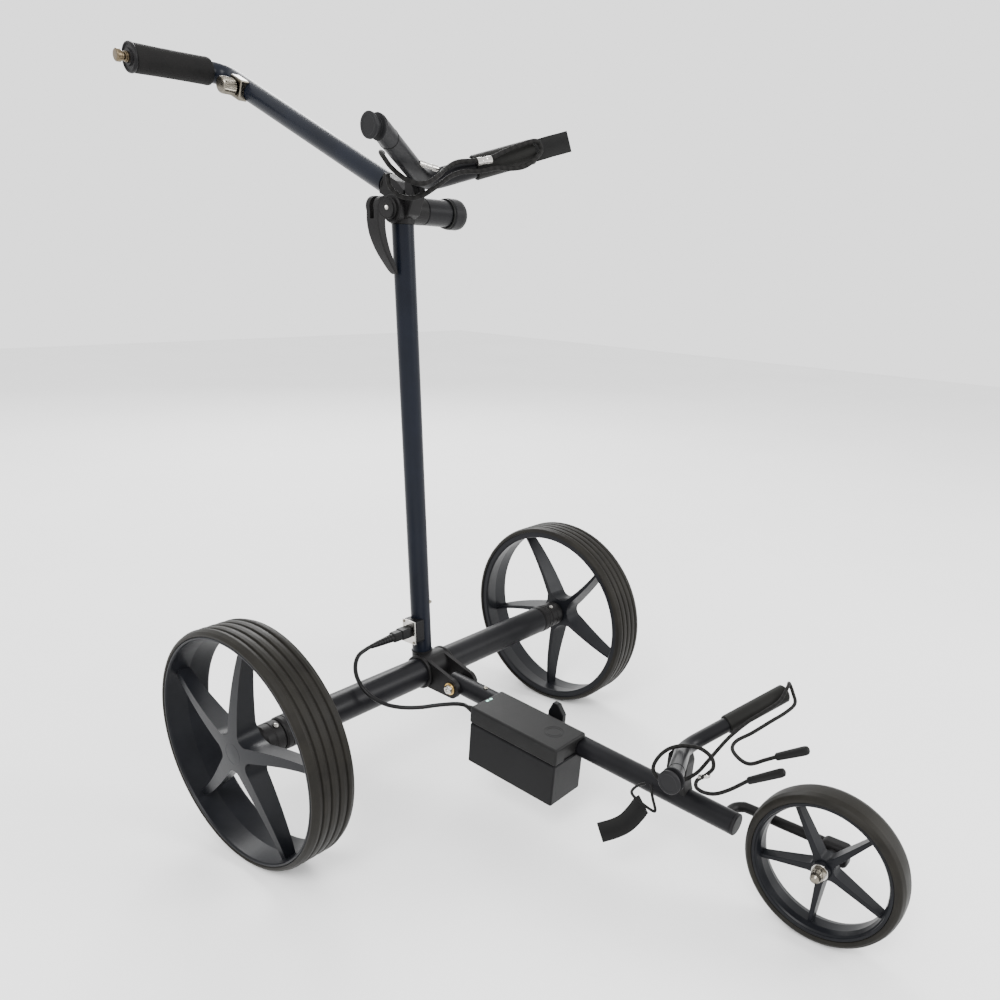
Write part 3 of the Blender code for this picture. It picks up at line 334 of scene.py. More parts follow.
def lathe(name, profile, origin, axis, steps, r=0.0, upv=(0, 0, 1), segs=3):
    if r:
        profile = fillet(profile, r, segs)
    bm = bmesh.new()
    vs = [bm.verts.new((p[1], 0, p[0])) for p in profile]
    es = []
    for i, v in enumerate(vs):
        w = vs[(i + 1) % len(vs)]
        if v.co.x < 1e-9 and w.co.x < 1e-9:
            continue
        es.append(bm.edges.new((v, w)))
    bmesh.ops.spin(bm, geom=vs + es, cent=(0, 0, 0), axis=(0, 0, 1), dvec=(0, 0, 0),
                   angle=2 * math.pi, steps=steps, use_merge=True, use_duplicate=False)
    ob = from_bm(bm, name)
    ob.matrix_world = basis(origin, axis, upv)
    return ob


def rod(name, a, b_, r, steps, r2=None, edge=0.0):
    a, b_ = Vector(a), Vector(b_)
    r2 = r if r2 is None else r2
    return lathe(name, [(0, 0), (0, r), ((b_ - a).length, r2), ((b_ - a).length, 0)], a, b_ - a,
                 steps, edge)


def block(name, lo, hi, matrix=None, bevel=0.0, segments=3):
    bm = bmesh.new()
    bmesh.ops.create_cube(bm, size=1.0)
    lo, hi = Vector(lo), Vector(hi)
    d = Vector((abs(hi.x - lo.x), abs(hi.y - lo.y), abs(hi.z - lo.z)))
    bmesh.ops.scale(bm, vec=d, verts=bm.verts)
    bmesh.ops.translate(bm, vec=(lo + hi) / 2, verts=bm.verts)
    if bevel:
        bmesh.ops.bevel(bm, geom=list(bm.edges), offset=bevel, segments=segments, profile=0.5,
                        affect="EDGES")
    ob = from_bm(bm, name)
    ob.matrix_world = matrix or Matrix.Translation((0, DY, 0))
    return ob


def prism_x(name, outline, x0, x1, bevel=0.0, segments=3):
    bm = bmesh.new()
    vs = [bm.verts.new((x0, y, z)) for y, z in outline]
    f_ = bm.faces.new(vs)
    out = bmesh.ops.extrude_face_region(bm, geom=[f_])
    moved = [g_ for g_ in out["geom"] if isinstance(g_, bmesh.types.BMVert)]
    bmesh.ops.translate(bm, vec=(x1 - x0, 0, 0), verts=moved)
    if bevel:
        bmesh.ops.bevel(bm, geom=list(bm.edges), offset=bevel, segments=segments, profile=0.5,
                        affect="EDGES")
    ob = from_bm(bm, name)
    ob.matrix_world = Matrix.Translation((0, DY, 0))
    return ob


def evaluated(ob):
    bpy.context.view_layer.update()
    g_ = bpy.context.evaluated_depsgraph_get()
    me = bpy.data.meshes.new_from_object(ob.evaluated_get(g_))
    ob.modifiers.clear()
    ob.data = me
    return ob


def join(ob, others=(), cuts=()):
    """Unions and then cuts, in exact solids, and drops the tools."""
    for o in others:
        mod = ob.modifiers.new("u", "BOOLEAN")
        mod.operation, mod.solver, mod.object = "UNION", "EXACT", o
        mod.use_self = True
    for o in cuts:
        mod = ob.modifiers.new("d", "BOOLEAN")
        mod.operation, mod.solver, mod.object = "DIFFERENCE", "EXACT", o
    evaluated(ob)
    for o in list(others) + list(cuts):
        bpy.data.objects.remove(o, do_unlink=True)
    return ob


def done(ob, mat, node_name=None, body=None, also=(), angle=32, bevel=0.0, seg=2):
    ob.data.materials.clear()
    ob.data.materials.append(mat)
    if bevel:
        mod = ob.modifiers.new("edge", "BEVEL")
        mod.width = bevel
        mod.segments = seg
        mod.limit_method = "ANGLE"
        mod.angle_limit = math.radians(38)
        mod.use_clamp_overlap = True
        evaluated(ob)
        ob.data.materials.clear()
        ob.data.materials.append(mat)
    ob.data.shade_smooth()
    ob.data.set_sharp_from_angle(angle=math.radians(angle))
    wn = ob.modifiers.new("normals", "WEIGHTED_NORMAL")
    wn.keep_sharp = True
    wn.weight = 90
    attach(ob, body or BODY_OF[node_name])
    if node_name:
        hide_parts(node_name, *also)
    return ob


def smooth_path(points, per=6):
    pts = [Vector(p) for p in points]
    ext = [pts[0] * 2 - pts[1]] + pts + [pts[-1] * 2 - pts[-2]]
    out = []
    for i in range(1, len(ext) - 2):
        p0, p1, p2, p3 = ext[i - 1 : i + 3]
        for k in range(per):
            t = k / per
            out.append(0.5 * ((2 * p1) + (p2 - p0) * t + (2 * p0 - 5 * p1 + 4 * p2 - p3) * t * t
                              + (3 * p1 - p0 - 3 * p2 + p3) * t ** 3))
    out.append(pts[-1])
    return out


def sweep(name, path, section, radii=None, start_up=None, yarn=None):
    """Section of (a, b) points carried along the path without twist, with closed ends. The UV
    map runs along the path in units of the section's girth and round the section."""
    pts = [Vector(p) for p in path]
    n, k = len(pts), len(section)
    tans = [(pts[min(i + 1, n - 1)] - pts[max(i - 1, 0)]).normalized() for i in range(n)]
    ref = Vector(start_up) if start_up else Vector((0, 0, 1))
    if abs(ref.dot(tans[0])) > 0.95:
        ref = Vector((1, 0, 0))
    a = (ref - tans[0] * ref.dot(tans[0])).normalized()
    verts, faces, uvs = [], [], []
    lens = [0.0]
    for i in range(1, n):
        lens.append(lens[-1] + (pts[i] - pts[i - 1]).length)
    girth = sum((Vector(section[j]) - Vector(section[j - 1])).length for j in range(k))
    unit = yarn or girth
    for i in range(n):
        a = (a - tans[i] * a.dot(tans[i])).normalized()
        b_ = tans[i].cross(a)
        s_ = 1.0 if radii is None else radii[i]
        for q in section:
            verts.append(W(pts[i] + a * q[0] * s_ + b_ * q[1] * s_))
    for i in range(n - 1):
        for j in range(k):
            j2 = (j + 1) % k
            faces.append((i * k + j, i * k + j2, (i + 1) * k + j2, (i + 1) * k + j))
            u0, u1 = lens[i] / unit, lens[i + 1] / unit
            v0, v1 = j / k, (j + 1) / k
            uvs += [(u0, v0), (u0, v1), (u1, v1), (u1, v0)]
    faces.append(tuple(range(k))[::-1])
    uvs += [(0, j / k) for j in range(k)][::-1]
    faces.append(tuple((n - 1) * k + j for j in range(k)))
    uvs += [(lens[-1] / unit, j / k) for j in range(k)]
    me = bpy.data.meshes.new(name)
    me.from_pydata([tuple(v) for v in verts], [], faces)
    layer = me.uv_layers.new(name="UVMap")
    for li, uv in enumerate(uvs):
        layer.data[li].uv = uv
    ob = bpy.data.objects.new(name, me)
    bpy.context.scene.collection.objects.link(ob)
    bm = bmesh.new()
    bm.from_mesh(me)
    bmesh.ops.recalc_face_normals(bm, faces=bm.faces)
    bm.to_mesh(me)
    bm.free()
    return ob


def circle(r, k):
    return [(r * math.cos(2 * math.pi * j / k), r * math.sin(2 * math.pi * j / k)) for j in range(k)]


def rounded_ends(path, r, steps=4):
    """Radii and path that round off both ends of a tube."""
    pts = [Vector(p) for p in path]
    d0 = (pts[1] - pts[0]).normalized()
    d1 = (pts[-1] - pts[-2]).normalized()
    head = [pts[0] + d0 * r * (1 - math.cos(math.pi / 2 * (1 - k / steps))) * 0 for k in range(0)]
    out, rad = [], []
    for k in range(steps):
        t = math.pi / 2 * k / steps
        out.append(pts[0] - d0 * r * 0.5 * math.cos(t) if k else pts[0] - d0 * r * 0.5)
        rad.append(max(0.15, math.sin(t)))
    out += pts
    rad += [1.0] * len(pts)
    for k in range(steps - 1, -1, -1):
        t = math.pi / 2 * k / steps
        out.append(pts[-1] + d1 * r * 0.5 * math.cos(t))
        rad.append(max(0.15, math.sin(t)))
    return out, rad


# ================================================================ common dimensions
X = Vector((1, 0, 0))
AX = Vector((0.0, 0.0, 0.1450))
AXLE_R = 0.0198
FOOT, TOP = Vector((0.0, 0.0176, 0.1672)), Vector((0.0, 0.0282, 0.7150))
LEAN = (TOP - FOOT).normalized()
O = Vector((0.0, 0.0285, 0.7315))
HS = math.atan(0.4402)
u = Vector((0, math.cos(HS), math.sin(HS)))
n = Vector((0, -u.z, u.y))
LIFT = 0.0167
BEND = Vector((0.0, 0.3592, 0.8953))
g = Vector((-0.9975, 0.0690, -0.0150)).normalized()
FS = math.atan(0.0896)
B = Vector((0.0, -0.0550, 0.1360))
f = Vector((0, -math.cos(FS), -math.sin(FS)))
fn = Vector((0, -math.sin(FS), math.cos(FS)))
UP_V, UP_ARM = Vector((0.0, -0.0095, 0.7610)), Vector((0.1180, -0.0576, 0.0429))
LOW_V, LOW_ARM = Vector((0.0, -0.4060, 0.1674)), Vector((0.1250, -0.0594, 0.0392))
BOX_W, BOX_S, BOX_H = (-0.0570, 0.0020), (0.0720, 0.2120), (-0.0610, 0.0200)


def on_frame(s, lift=0.0, x=0.0):
    return B + f * s + fn * lift + Vector((x, 0, 0))


box_m = Matrix((Vector((1, 0, 0)), -f, fn)).transposed().to_4x4()
box_m.translation = W(B)
GLAND = on_frame(BOX_S[0] - 0.0003, 0.0130, -0.0515)
PLUG = Vector((-0.0251, 0.0155, 0.2020))

# ================================================================ cords
lead_pts = [PLUG + Vector((-0.0645, 0, -0.0013)), PLUG + Vector((-0.0700, 0, -0.0018)),
            Vector((-0.1105, 0.0140, 0.1965)), Vector((-0.1215, 0.0080, 0.1895)),
            Vector((-0.1300, -0.0030, 0.1810)), Vector((-0.1350, -0.0180, 0.1725)),
            Vector((-0.1330, -0.0330, 0.1620)), Vector((-0.1220, -0.0460, 0.1510)),
            Vector((-0.1080, -0.0600, 0.1455)), Vector((-0.0940, -0.0780, 0.1460)),
            Vector((-0.0790, -0.0950, 0.1490)), Vector((-0.0640, -0.1080, 0.1490)),
            GLAND - f * 0.0160, GLAND - f * 0.0087]
lead_path = smooth_path(lead_pts, 8)[::-1]


lead = sweep("v_battery_lead", lead_path, circle(0.00265, 20))
lead.data.materials.append(M_LEAD)
lead.data.shade_smooth()
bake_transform(lead)
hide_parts("battery_lead")

upper_pts = [(-0.0480, 0.0035, 0.7860), (-0.0600, -0.0070, 0.7850), (-0.0655, -0.0180, 0.7790),
             (-0.0635, -0.0270, 0.7690), (-0.0555, -0.0380, 0.7590), (-0.0440, -0.0455, 0.7550),
             (-0.0320, -0.0490, 0.7570), (-0.0160, -0.0490, 0.7650), (0.0060, -0.0400, 0.7755),
             (0.0251, -0.0393, 0.7839), (0.0424, -0.0500, 0.7870), (0.0589, -0.0580, 0.7914),
             (0.0757, -0.0660, 0.8005), (0.0935, -0.0740, 0.8088), (0.1135, -0.0808, 0.8152),
             (0.1202, -0.0838, 0.8068), (0.1092, -0.0838, 0.7957), (0.0955, -0.0790, 0.7860),
             (0.0800, -0.0710, 0.7820), (0.0642, -0.0630, 0.7813), (0.0475, -0.0545, 0.7766),
             (0.0287, -0.0440, 0.7738), (0.0130, -0.0400, 0.7680), (-0.0040, -0.0410, 0.7590),
             (-0.0180, -0.0405, 0.7510), (-0.0280, -0.0365, 0.7445), (-0.0380, -0.0280, 0.7410),
             (-0.0460, -0.0180, 0.7430), (-0.0500, -0.0080, 0.7520), (-0.0480, -0.0030, 0.7640)]
upper_path = smooth_path(upper_pts, 8)
ucord = sweep("v_upper_shock_cord", upper_path, circle(0.0026, 20))
done(ucord, M_CORD, "upper_shock_cord", angle=60)

lower_pts = [(-0.0107, -0.5215, 0.2047), (-0.0080, -0.5088, 0.1950), (0.0000, -0.4889, 0.1788),
             (0.0080, -0.4720, 0.1752), (0.0220, -0.4560, 0.1752), (0.0403, -0.4520, 0.1760),
             (0.0590, -0.4610, 0.1809), (0.0814, -0.4722, 0.1898), (0.1064, -0.4803, 0.1950),
             (0.1264, -0.4820, 0.1990), (0.1370, -0.4740, 0.2060), (0.1365, -0.4680, 0.2172),
             (0.1220, -0.4724, 0.2194), (0.1030, -0.4722, 0.2083), (0.0834, -0.4638, 0.2000),
             (0.0613, -0.4538, 0.1918), (0.0382, -0.4445, 0.1800), (0.0197, -0.4400, 0.1700),
             (0.0040, -0.4360, 0.1600), (-0.0120, -0.4310, 0.1500), (-0.0320, -0.4210, 0.1450),
             (-0.0480, -0.4080, 0.1490), (-0.0520, -0.3990, 0.1620), (-0.0460, -0.4010, 0.1750),
             (-0.0390, -0.4103, 0.1862), (-0.0325, -0.4247, 0.1920), (-0.0290, -0.4426, 0.1936),
             (-0.0290, -0.4567, 0.1878), (-0.0295, -0.4601, 0.1769), (-0.0300, -0.4526, 0.1652),
             (-0.0290, -0.4420, 0.1540), (-0.0260, -0.4400, 0.1430), (-0.0215, -0.4470, 0.1370),
             (-0.0180, -0.4600, 0.1385), (-0.0160, -0.4760, 0.1495), (-0.0155, -0.4951, 0.1676)]
lower_path = smooth_path(lower_pts, 8)
lcord = sweep("v_lower_shock_cord", lower_path, circle(0.0022, 18))
done(lcord, M_CORD, "lower_shock_cord", angle=60)

for tag, a, b_ in (("a", (-0.0108, -0.5219, 0.2050), (-0.0115, -0.5563, 0.2265)),
                   ("b", (-0.0155, -0.4957, 0.1680), (-0.0155, -0.5354, 0.1946))):
    a, b_ = Vector(a), Vector(b_)
    L = (b_ - a).length
    ob = lathe("v_cord_tab_" + tag, [(0, 0.0021), (0, 0.0032), (0.0015, 0.0042), (L * 0.5, 0.0047),
                                     (L - 0.0050, 0.0050), (L - 0.0018, 0.0044), (L - 0.0004, 0.0026),
                                     (L, 0), (0.0006, 0), (0.0004, 0.0021)],
               a, b_ - a, 48, 0.0008)
    done(ob, M_SOFT, "cord_tab_" + tag)

# ================================================================ axle
done(lathe("v_axle_tube", [(-0.2257, 0.0178), (-0.2257, AXLE_R), (0.2257, AXLE_R), (0.2257, 0.0178)],
           AX, X, 96, 0.0006), M_TUBE, "axle_tube")
for side, tag in ((-1, "right"), (1, "left")):
    D = X * side
    done(lathe("v_axle_end_ring_" + tag,
               [(0.2185, 0.0045), (0.2185, 0.0172, 0), (0.2262, 0.0172, 0), (0.2262, 0.0200),
                (0.2290, 0.0205), (0.2355, 0.0205), (0.2362, 0.0199), (0.2370, 0.0199),
                (0.2377, 0.0205), (0.2420, 0.0202), (0.2443, 0.0190), (0.2443, 0.0045)], AX, D, 96,
               0.0005), M_CAST, "axle_end_ring_" + tag)
    a = math.radians(116.0)
    radial = Vector((0, math.cos(a), math.sin(a)))
    at = AX + D * 0.2515
    hub = lathe("v_drive_coupling_" + tag,
                [(0.2165, 0), (0.2165, 0.0042), (0.2449, 0.0042), (0.2449, 0.0180), (0.2465, 0.0190),
                 (0.2560, 0.0190), (0.2566, 0.0184), (0.2574, 0.0184), (0.2580, 0.0190),
                 (0.2668, 0.0190), (0.2712, 0.0172), (0.2712, 0.0070), (0.2915, 0.0070), (0.2915, 0)],
                AX, D, 96, 0.0006)
    join(hub, cuts=[rod("c1", at + radial * 0.0120, at + radial * 0.0300, 0.0034, 40)])
    done(hub, M_CAST, "drive_coupling_" + tag, bevel=0.0003)
    done(lathe("v_release_button_" + tag,
               [(0.0150, 0), (0.0150, 0.0031), (0.0200, 0.0031), (0.0210, 0.0027), (0.0215, 0.0016),
                (0.0216, 0)], at, radial, 40, 0.0004), M_STEEL, "release_button_" + tag)
    done(lathe("v_coupling_ring_" + tag, [(0.2695, 0.0150), (0.2695, 0.0180), (0.2714, 0.0176),
                                          (0.2714, 0.0150)], AX, D, 96, 0.0003), M_SOFT,
         body="wheel_" + tag)


# ================================================================ spoked wheels
def spider(name, centre, side, turn, swirl, r_end, h_root, h_tip, fil, x_out, x_in, ridge, rows=26,
           cols=8, spokes=5):
    """Star of spokes with round-filleted crotches. x_out and x_in give the outer and inner
    distance along the axle at a share 0..1 of the way out, and ridge is how much narrower the
    inner face is than the outer one."""
    half = math.pi / spokes
    dc = (h_root + fil) / math.sin(half)
    r_c = dc - fil
    r_t = math.sqrt(dc * dc - fil * fil)

    def alpha(r, shrink):
        if r <= r_c:
            return half
        if r < r_t:
            cosd = (r * r + dc * dc - fil * fil) / (2 * r * dc)
            return half - math.acos(max(-1, min(1, cosd)))
        t = (r - r_t) / (r_end - r_t)
        return math.asin((h_root * (1 - t) ** 1.2 + h_tip * (1 - (1 - t) ** 1.2)) / r)

    rs = [0.0] + [r_c * k / 6 for k in range(1, 7)]
    rs += [r_c + (r_t - r_c) * (k / 7) ** 1.6 for k in range(1, 8)]
    rs += [r_t + (r_end - r_t) * k / rows for k in range(1, rows + 1)]
    bm = bmesh.new()
    for s_ in range(spokes):
        base = turn + 2 * math.pi * s_ / spokes
        grids = []
        for face in (0, 1):
            grid = []
            for r in rs:
                q = r / r_end
                al = alpha(r, 0)
                if face == 1 and r > r_c:
                    w_ = min(1.0, (r - r_c) / (r_t - r_c))
                    al *= 1 - (1 - ridge) * w_
                row = []
                for j in range(cols + 1):
                    uu = -1 + 2 * j / cols
                    th = base + side * swirl * q * q + al * uu
                    xx = (x_out if face == 0 else x_in)(q)
                    row.append(bm.verts.new((side * xx, r * math.cos(th), r * math.sin(th))))
                grid.append(row)
            grids.append(grid)
            for i in range(len(rs) - 1):
                for j in range(cols):
                    quad = [grid[i][j], grid[i][j + 1], grid[i + 1][j + 1], grid[i + 1][j]]
                    bm.faces.new(quad if i else quad[1:3] + [quad[3]] if False else quad)
        for i in range(len(rs) - 1):
            if rs[i] < r_c - 1e-9:
                continue
            for j in (0, cols):
                bm.faces.new([grids[0][i][j], grids[0][i + 1][j], grids[1][i + 1][j], grids[1][i][j]])
        for j in range(cols):
            bm.faces.new([grids[0][-1][j], grids[0][-1][j + 1], grids[1][-1][j + 1], grids[1][-1][j]])
    bmesh.ops.remove_doubles(bm, verts=bm.verts, dist=2e-6)
    bmesh.ops.dissolve_degenerate(bm, dist=1e-7, edges=bm.edges)
    bmesh.ops.recalc_face_normals(bm, faces=bm.faces)
    me = bpy.data.meshes.new(name)
    bm.to_mesh(me)
    bm.free()
    ob = bpy.data.objects.new(name, me)
    bpy.context.scene.collection.objects.link(ob)
    ob.matrix_world = Matrix.Translation(W(centre))
    return ob


for side, tag, turn in ((-1, "right", 22.0), (1, "left", 64.8)):
    D = X * side
    rim = lathe("v_rim_" + tag,
                [(0.2500, 0.1300), (0.2500, 0.1374, 0), (0.3020, 0.1374, 0), (0.3028, 0.1366),
                 (0.3028, 0.1348), (0.3008, 0.1338), (0.2960, 0.1338), (0.2760, 0.1330),
                 (0.2560, 0.1290), (0.2520, 0.1286)], AX, D, 192, 0.0008)
    sp = spider("v_spokes_" + tag, AX, side, math.radians(turn), math.radians(-5), 0.1352,
                0.0088, 0.0042, 0.0115,
                lambda q: 0.3030 - 0.0125 * q ** 1.4,
                lambda q: 0.2740 + 0.0020 * q + 0.0 * q, 0.42)
    hubc = lathe("v_hub_" + tag, [(0.2716, 0.0073), (0.2716, 0.0150), (0.2800, 0.0172),
                                  (0.2960, 0.0172), (0.2960, 0.0073)], AX, D, 80, 0.0008)
    ring = lathe("c_ring", [(0.3024, 0.0126), (0.3040, 0.0123), (0.3040, 0.0134), (0.3024, 0.0131)],
                 AX, D, 96)
    done(rim, M_RIM, "rim_" + tag)
    mod = sp.modifiers.new("d", "BOOLEAN")
    mod.operation, mod.solver, mod.object = "DIFFERENCE", "EXACT", ring
    evaluated(sp)
    bpy.data.objects.remove(ring, do_unlink=True)
    done(sp, M_RIM, None, body="wheel_" + tag, bevel=0.0010, seg=3)
    done(hubc, M_RIM, None, body="wheel_" + tag)
    # tyre: five ribs between four rounded grooves, soft shoulders
    prof = [(0.2483, 0.1377, 0), (0.2483, 0.1402, 0.0012), (0.2500, 0.1428, 0.0014)]
    last = 0.2512
    for gx in (0.2596, 0.2705, 0.2812, 0.2918):
        mid = (last + gx) / 2
        prof += [(mid, 0.1450, 0.003), (gx - 0.0017, 0.1446, 0.0009), (gx - 0.0006, 0.1426, 0.0006),
                 (gx + 0.0006, 0.1426, 0.0006), (gx + 0.0017, 0.1446, 0.0009)]
        last = gx
    prof += [(0.2965, 0.1450, 0.003)]
    prof += [(0.3012, 0.1430, 0.0014), (0.3033, 0.1405, 0.0012), (0.3033, 0.1386, 0.0004),
             (0.3025, 0.1380, 0.0003), (0.3025, 0.1377, 0)]
    done(lathe("v_tyre_" + tag, prof, AX, D, 192, 0.0006, segs=3), M_TYRE, "tyre_" + tag)

F = Vector((0.0040, -0.5847, 0.0898))
tp = [(-0.0142, 0.0789, 0), (-0.0156, 0.0794, 0.0004), (-0.0163, 0.0812), (-0.0163, 0.0835, 0.003),
      (-0.0140, 0.0872, 0.004), (-0.0080, 0.0893, 0.006), (0.0, 0.0898, 0.01), (0.0080, 0.0893, 0.006),
      (0.0140, 0.0872, 0.004), (0.0163, 0.0835, 0.003), (0.0163, 0.0812), (0.0156, 0.0794, 0.0004),
      (0.0142, 0.0789, 0)]
done(lathe("v_front_tyre", tp, F, X, 192, 0.0008, segs=4), M_TYRE, "front_tyre")
frim = lathe("v_front_rim", [(-0.0150, 0.0756), (-0.0150, 0.0786, 0), (0.0150, 0.0786, 0),
                             (0.0150, 0.0756), (0.0136, 0.0750), (0.0120, 0.0736), (0.0060, 0.0716),
                             (-0.0060, 0.0716), (-0.0120, 0.0736), (-0.0136, 0.0750)], F, X, 160,
             0.0006)
done(frim, M_RIM, "front_rim")
fs = spider("v_front_spokes", F, 1, math.radians(59.0), 0.0, 0.0738, 0.0050, 0.0027, 0.0060,
            lambda q: 0.0090 - 0.0030 * q, lambda q: -0.0085 + 0.0030 * q, 0.8, rows=16, cols=6)
bore = rod("c_b", F - X * 0.03, F + X * 0.03, 0.0043, 40)
join(fs, cuts=[bore])
done(fs, M_RIM, None, body="front_wheel", bevel=0.0008, seg=3)
fh = lathe("v_front_hub", [(-0.0130, 0.0044), (-0.0130, 0.0100), (-0.0110, 0.0106), (-0.0040, 0.0112),
                           (0.0080, 0.0112), (0.0150, 0.0104), (0.0150, 0.0044)], F, X, 80, 0.0006)
done(fh, M_RIM, None, body="front_wheel")

# axle hardware of the front wheel
done(lathe("v_front_axle", [(-0.0195, 0), (-0.0195, 0.0042), (0.0385, 0.0042), (0.0385, 0.0078),
                            (0.0425, 0.0074), (0.0438, 0.0050), (0.0440, 0)], F, X, 48, 0.0004),
     M_STEEL, "front_axle")
washer = lathe("v_front_washer", [(-0.0133, 0.0044), (-0.0133, 0.0094), (-0.0145, 0.0094),
                                  (-0.0145, 0.0044)], F, X, 64, 0.0003)
done(washer, M_STEEL, None, body="frame")
hexn = lathe("v_front_axle_nut", [(-0.0148, 0.0044), (-0.0148, 0.0080), (-0.0200, 0.0080),
                                  (-0.0203, 0.0066), (-0.0245, 0.0064), (-0.0280, 0.0052),
                                  (-0.0300, 0.0030), (-0.0306, 0), (-0.0200, 0), (-0.0200, 0.0044)],
             F, X, 64, 0.0006)
hexcut = []
for k in range(6):
    t = math.radians(60 * k + 12)
    o_ = Vector((0, math.cos(t), math.sin(t)))
    hexcut.append(block("hx", (-0.0202, 0.0071, -0.02), (-0.0146, 0.02, 0.02),
                        matrix=Matrix.Translation(W(F)) @ Matrix.Rotation(t, 4, "X")))
join(hexn, cuts=hexcut)
done(hexn, M_NICKEL, "front_axle_nut", bevel=0.0002)

# arm of the front wheel
ay, az_ = on_frame(0.4100).y, on_frame(0.4100).z
arm_pts = [(0.0110, ay, az_), (0.0136, ay, az_), (0.0210, ay, az_), (0.0275, ay - 0.0020, az_),
           (0.0325, ay - 0.0070, az_), (0.0348, ay - 0.0150, az_), (0.0350, -0.5200, 0.0975),
           (0.0350, -0.5500, 0.0968), (0.0350, -0.5800, 0.0950)]
arm = sweep("v_front_arm", smooth_path(arm_pts[1:], 8), circle(0.0060, 48))
blk = block("a_blk", (0.0235, -0.6010, 0.0780), (0.0420, -0.5690, 0.1045), bevel=0.0060, segments=6)
boss = rod("a_boss", (F.x + 0.0156, F.y, F.z), (0.0250, F.y, F.z), 0.0095, 64)
join(arm, others=[blk, boss], cuts=[rod("c_ax", (0.0, F.y, F.z), (0.06, F.y, F.z), 0.0045, 40)])
done(arm, M_CAST, "front_arm", bevel=0.0005)

# ================================================================ hub casting and column
casting = lathe("v_hub_casting",
                [(-0.0240, 0.0201, 0), (-0.0240, 0.0228), (-0.0232, 0.0234), (-0.0208, 0.0234),
                 (-0.0192, 0.0222), (0.0187, 0.0222), (0.0203, 0.0234), (0.0227, 0.0234),
                 (0.0235, 0.0228), (0.0235, 0.0201, 0)], AX, X, 96, 0.0006)
ear = [(B.y + 0.0142 * math.cos(math.radians(d)), B.z + 0.0142 * math.sin(math.radians(d)))
       for d in range(95, 268, 8)]
ear += [(-0.0080, AX.z - 0.0205), (-0.0080, AX.z + 0.0205)]
adds = [prism_x("ear%d" % (s_ + 1), ear, min(s_ * 0.0134, s_ * 0.0190), max(s_ * 0.0134, s_ * 0.0190))
        for s_ in (-1, 1)]
adds.append(lathe("sock", [(-0.0220, 0), (-0.0220, 0.0140), (-0.0040, 0.0140), (-0.0008, 0.0146),
                           (-0.0003, 0.0138), (-0.0003, 0.0112), (0.0180, 0.0112), (0.0180, 0)],
                  FOOT, LEAN, 80))
join(casting, others=adds,
     cuts=[rod("c_axle", (-0.05, 0, AX.z), (0.05, 0, AX.z), 0.0201, 96),
           rod("c_bolt", (-0.05, B.y, B.z), (0.05, B.y, B.z), 0.0043, 40)])
done(casting, M_CAST, "hub_casting", bevel=0.0007, seg=3)

L = (TOP - FOOT).length
done(lathe("v_column_tube", [(0, 0.0117), (0, 0.0131), (L, 0.0131), (L, 0.0117)], FOOT, LEAN, 96,
           0.0004), M_COLUMN_PAINTED_SHEEN, "column_tube")
done(rod("v_column_screw", (0.0080, 0.0220, 0.2372), (0.0080, 0.0068, 0.2372), 0.0024, 32, edge=0.0004),
     M_NICKEL, None, body="chassis")

# ================================================================ column head
head = lathe("v_column_head", [(-0.0180, 0), (-0.0180, 0.0145), (-0.0165, 0.0160), (0.0290, 0.0160),
                               (0.0300, 0.0150), (0.0300, 0)], O, X, 96, 0.0008)
neck = lathe("neck", [(-0.0180, 0), (-0.0180, 0.0112), (0.0003, 0.0112), (0.0003, 0.0138),
                      (0.0140, 0.0138), (0.0140, 0)], TOP, LEAN, 80)
seat = [(O.y - 0.0050, O.z - 0.0145), (O.y - 0.0050, O.z + 0.0060), (O.y - 0.0149, O.z + 0.0075),
        (O.y - 0.0152, O.z + 0.0285), (O.y - 0.0250, O.z + 0.0400), (O.y - 0.0330, O.z + 0.0330),
        (O.y - 0.0290, O.z + 0.0120), (O.y - 0.0200, O.z - 0.0060)]
seat_o = prism_x("seat", seat, -0.0095, 0.0095, bevel=0.0016)


def polar(deg, r):
    return (O.y + r * math.cos(math.radians(deg)), O.z + r * math.sin(math.radians(deg)))


slot_o = prism_x("slot", [(O.y, O.z)] + [polar(d, 0.030) for d in (-57, -20, 20, 60, 100, 126)],
                 -0.0088, 0.0088)
cuts = [slot_o, rod("slr", (-0.0088, O.y, O.z), (0.0088, O.y, O.z), 0.0126, 64),
        rod("skw", (-0.03, O.y, O.z), (0.04, O.y, O.z), 0.0032, 32)]
for s_ in (-1, 1):
    d_ = Vector((s_ * UP_ARM.x, UP_ARM.y, UP_ARM.z))
    cuts.append(rod("cs%d" % s_, UP_V - d_ * 0.10, UP_V + d_ * 0.5, 0.0115, 64))
join(head, others=[neck, seat_o], cuts=cuts)
done(head, M_CAST, "column_head", bevel=0.0006, seg=2)

done(lathe("v_head_barrel_tube", [(0.0303, 0.0034), (0.0303, 0.0150), (0.0313, 0.0158),
                                  (0.0780, 0.0158), (0.0780, 0.0034)], O, X, 96, 0.0004),
     M_TUBE, "head_barrel_tube")
done(lathe("v_barrel_ring", [(0.0690, 0.0160), (0.0690, 0.0176), (0.0718, 0.0180), (0.0718, 0.0160)],
           O, X, 96, 0.0004), M_SOFT, None, body="chassis")
done(lathe("v_head_barrel_cap", [(0.0722, 0.0161), (0.0722, 0.0178), (0.0740, 0.0185), (0.0860, 0.0185),
                                 (0.0905, 0.0176), (0.0938, 0.0152), (0.0952, 0.0105), (0.0956, 0.0050),
                                 (0.0957, 0), (0.0784, 0), (0.0784, 0.0161)], O, X, 96, 0.0012),
     M_KNOB, "head_barrel_cap")

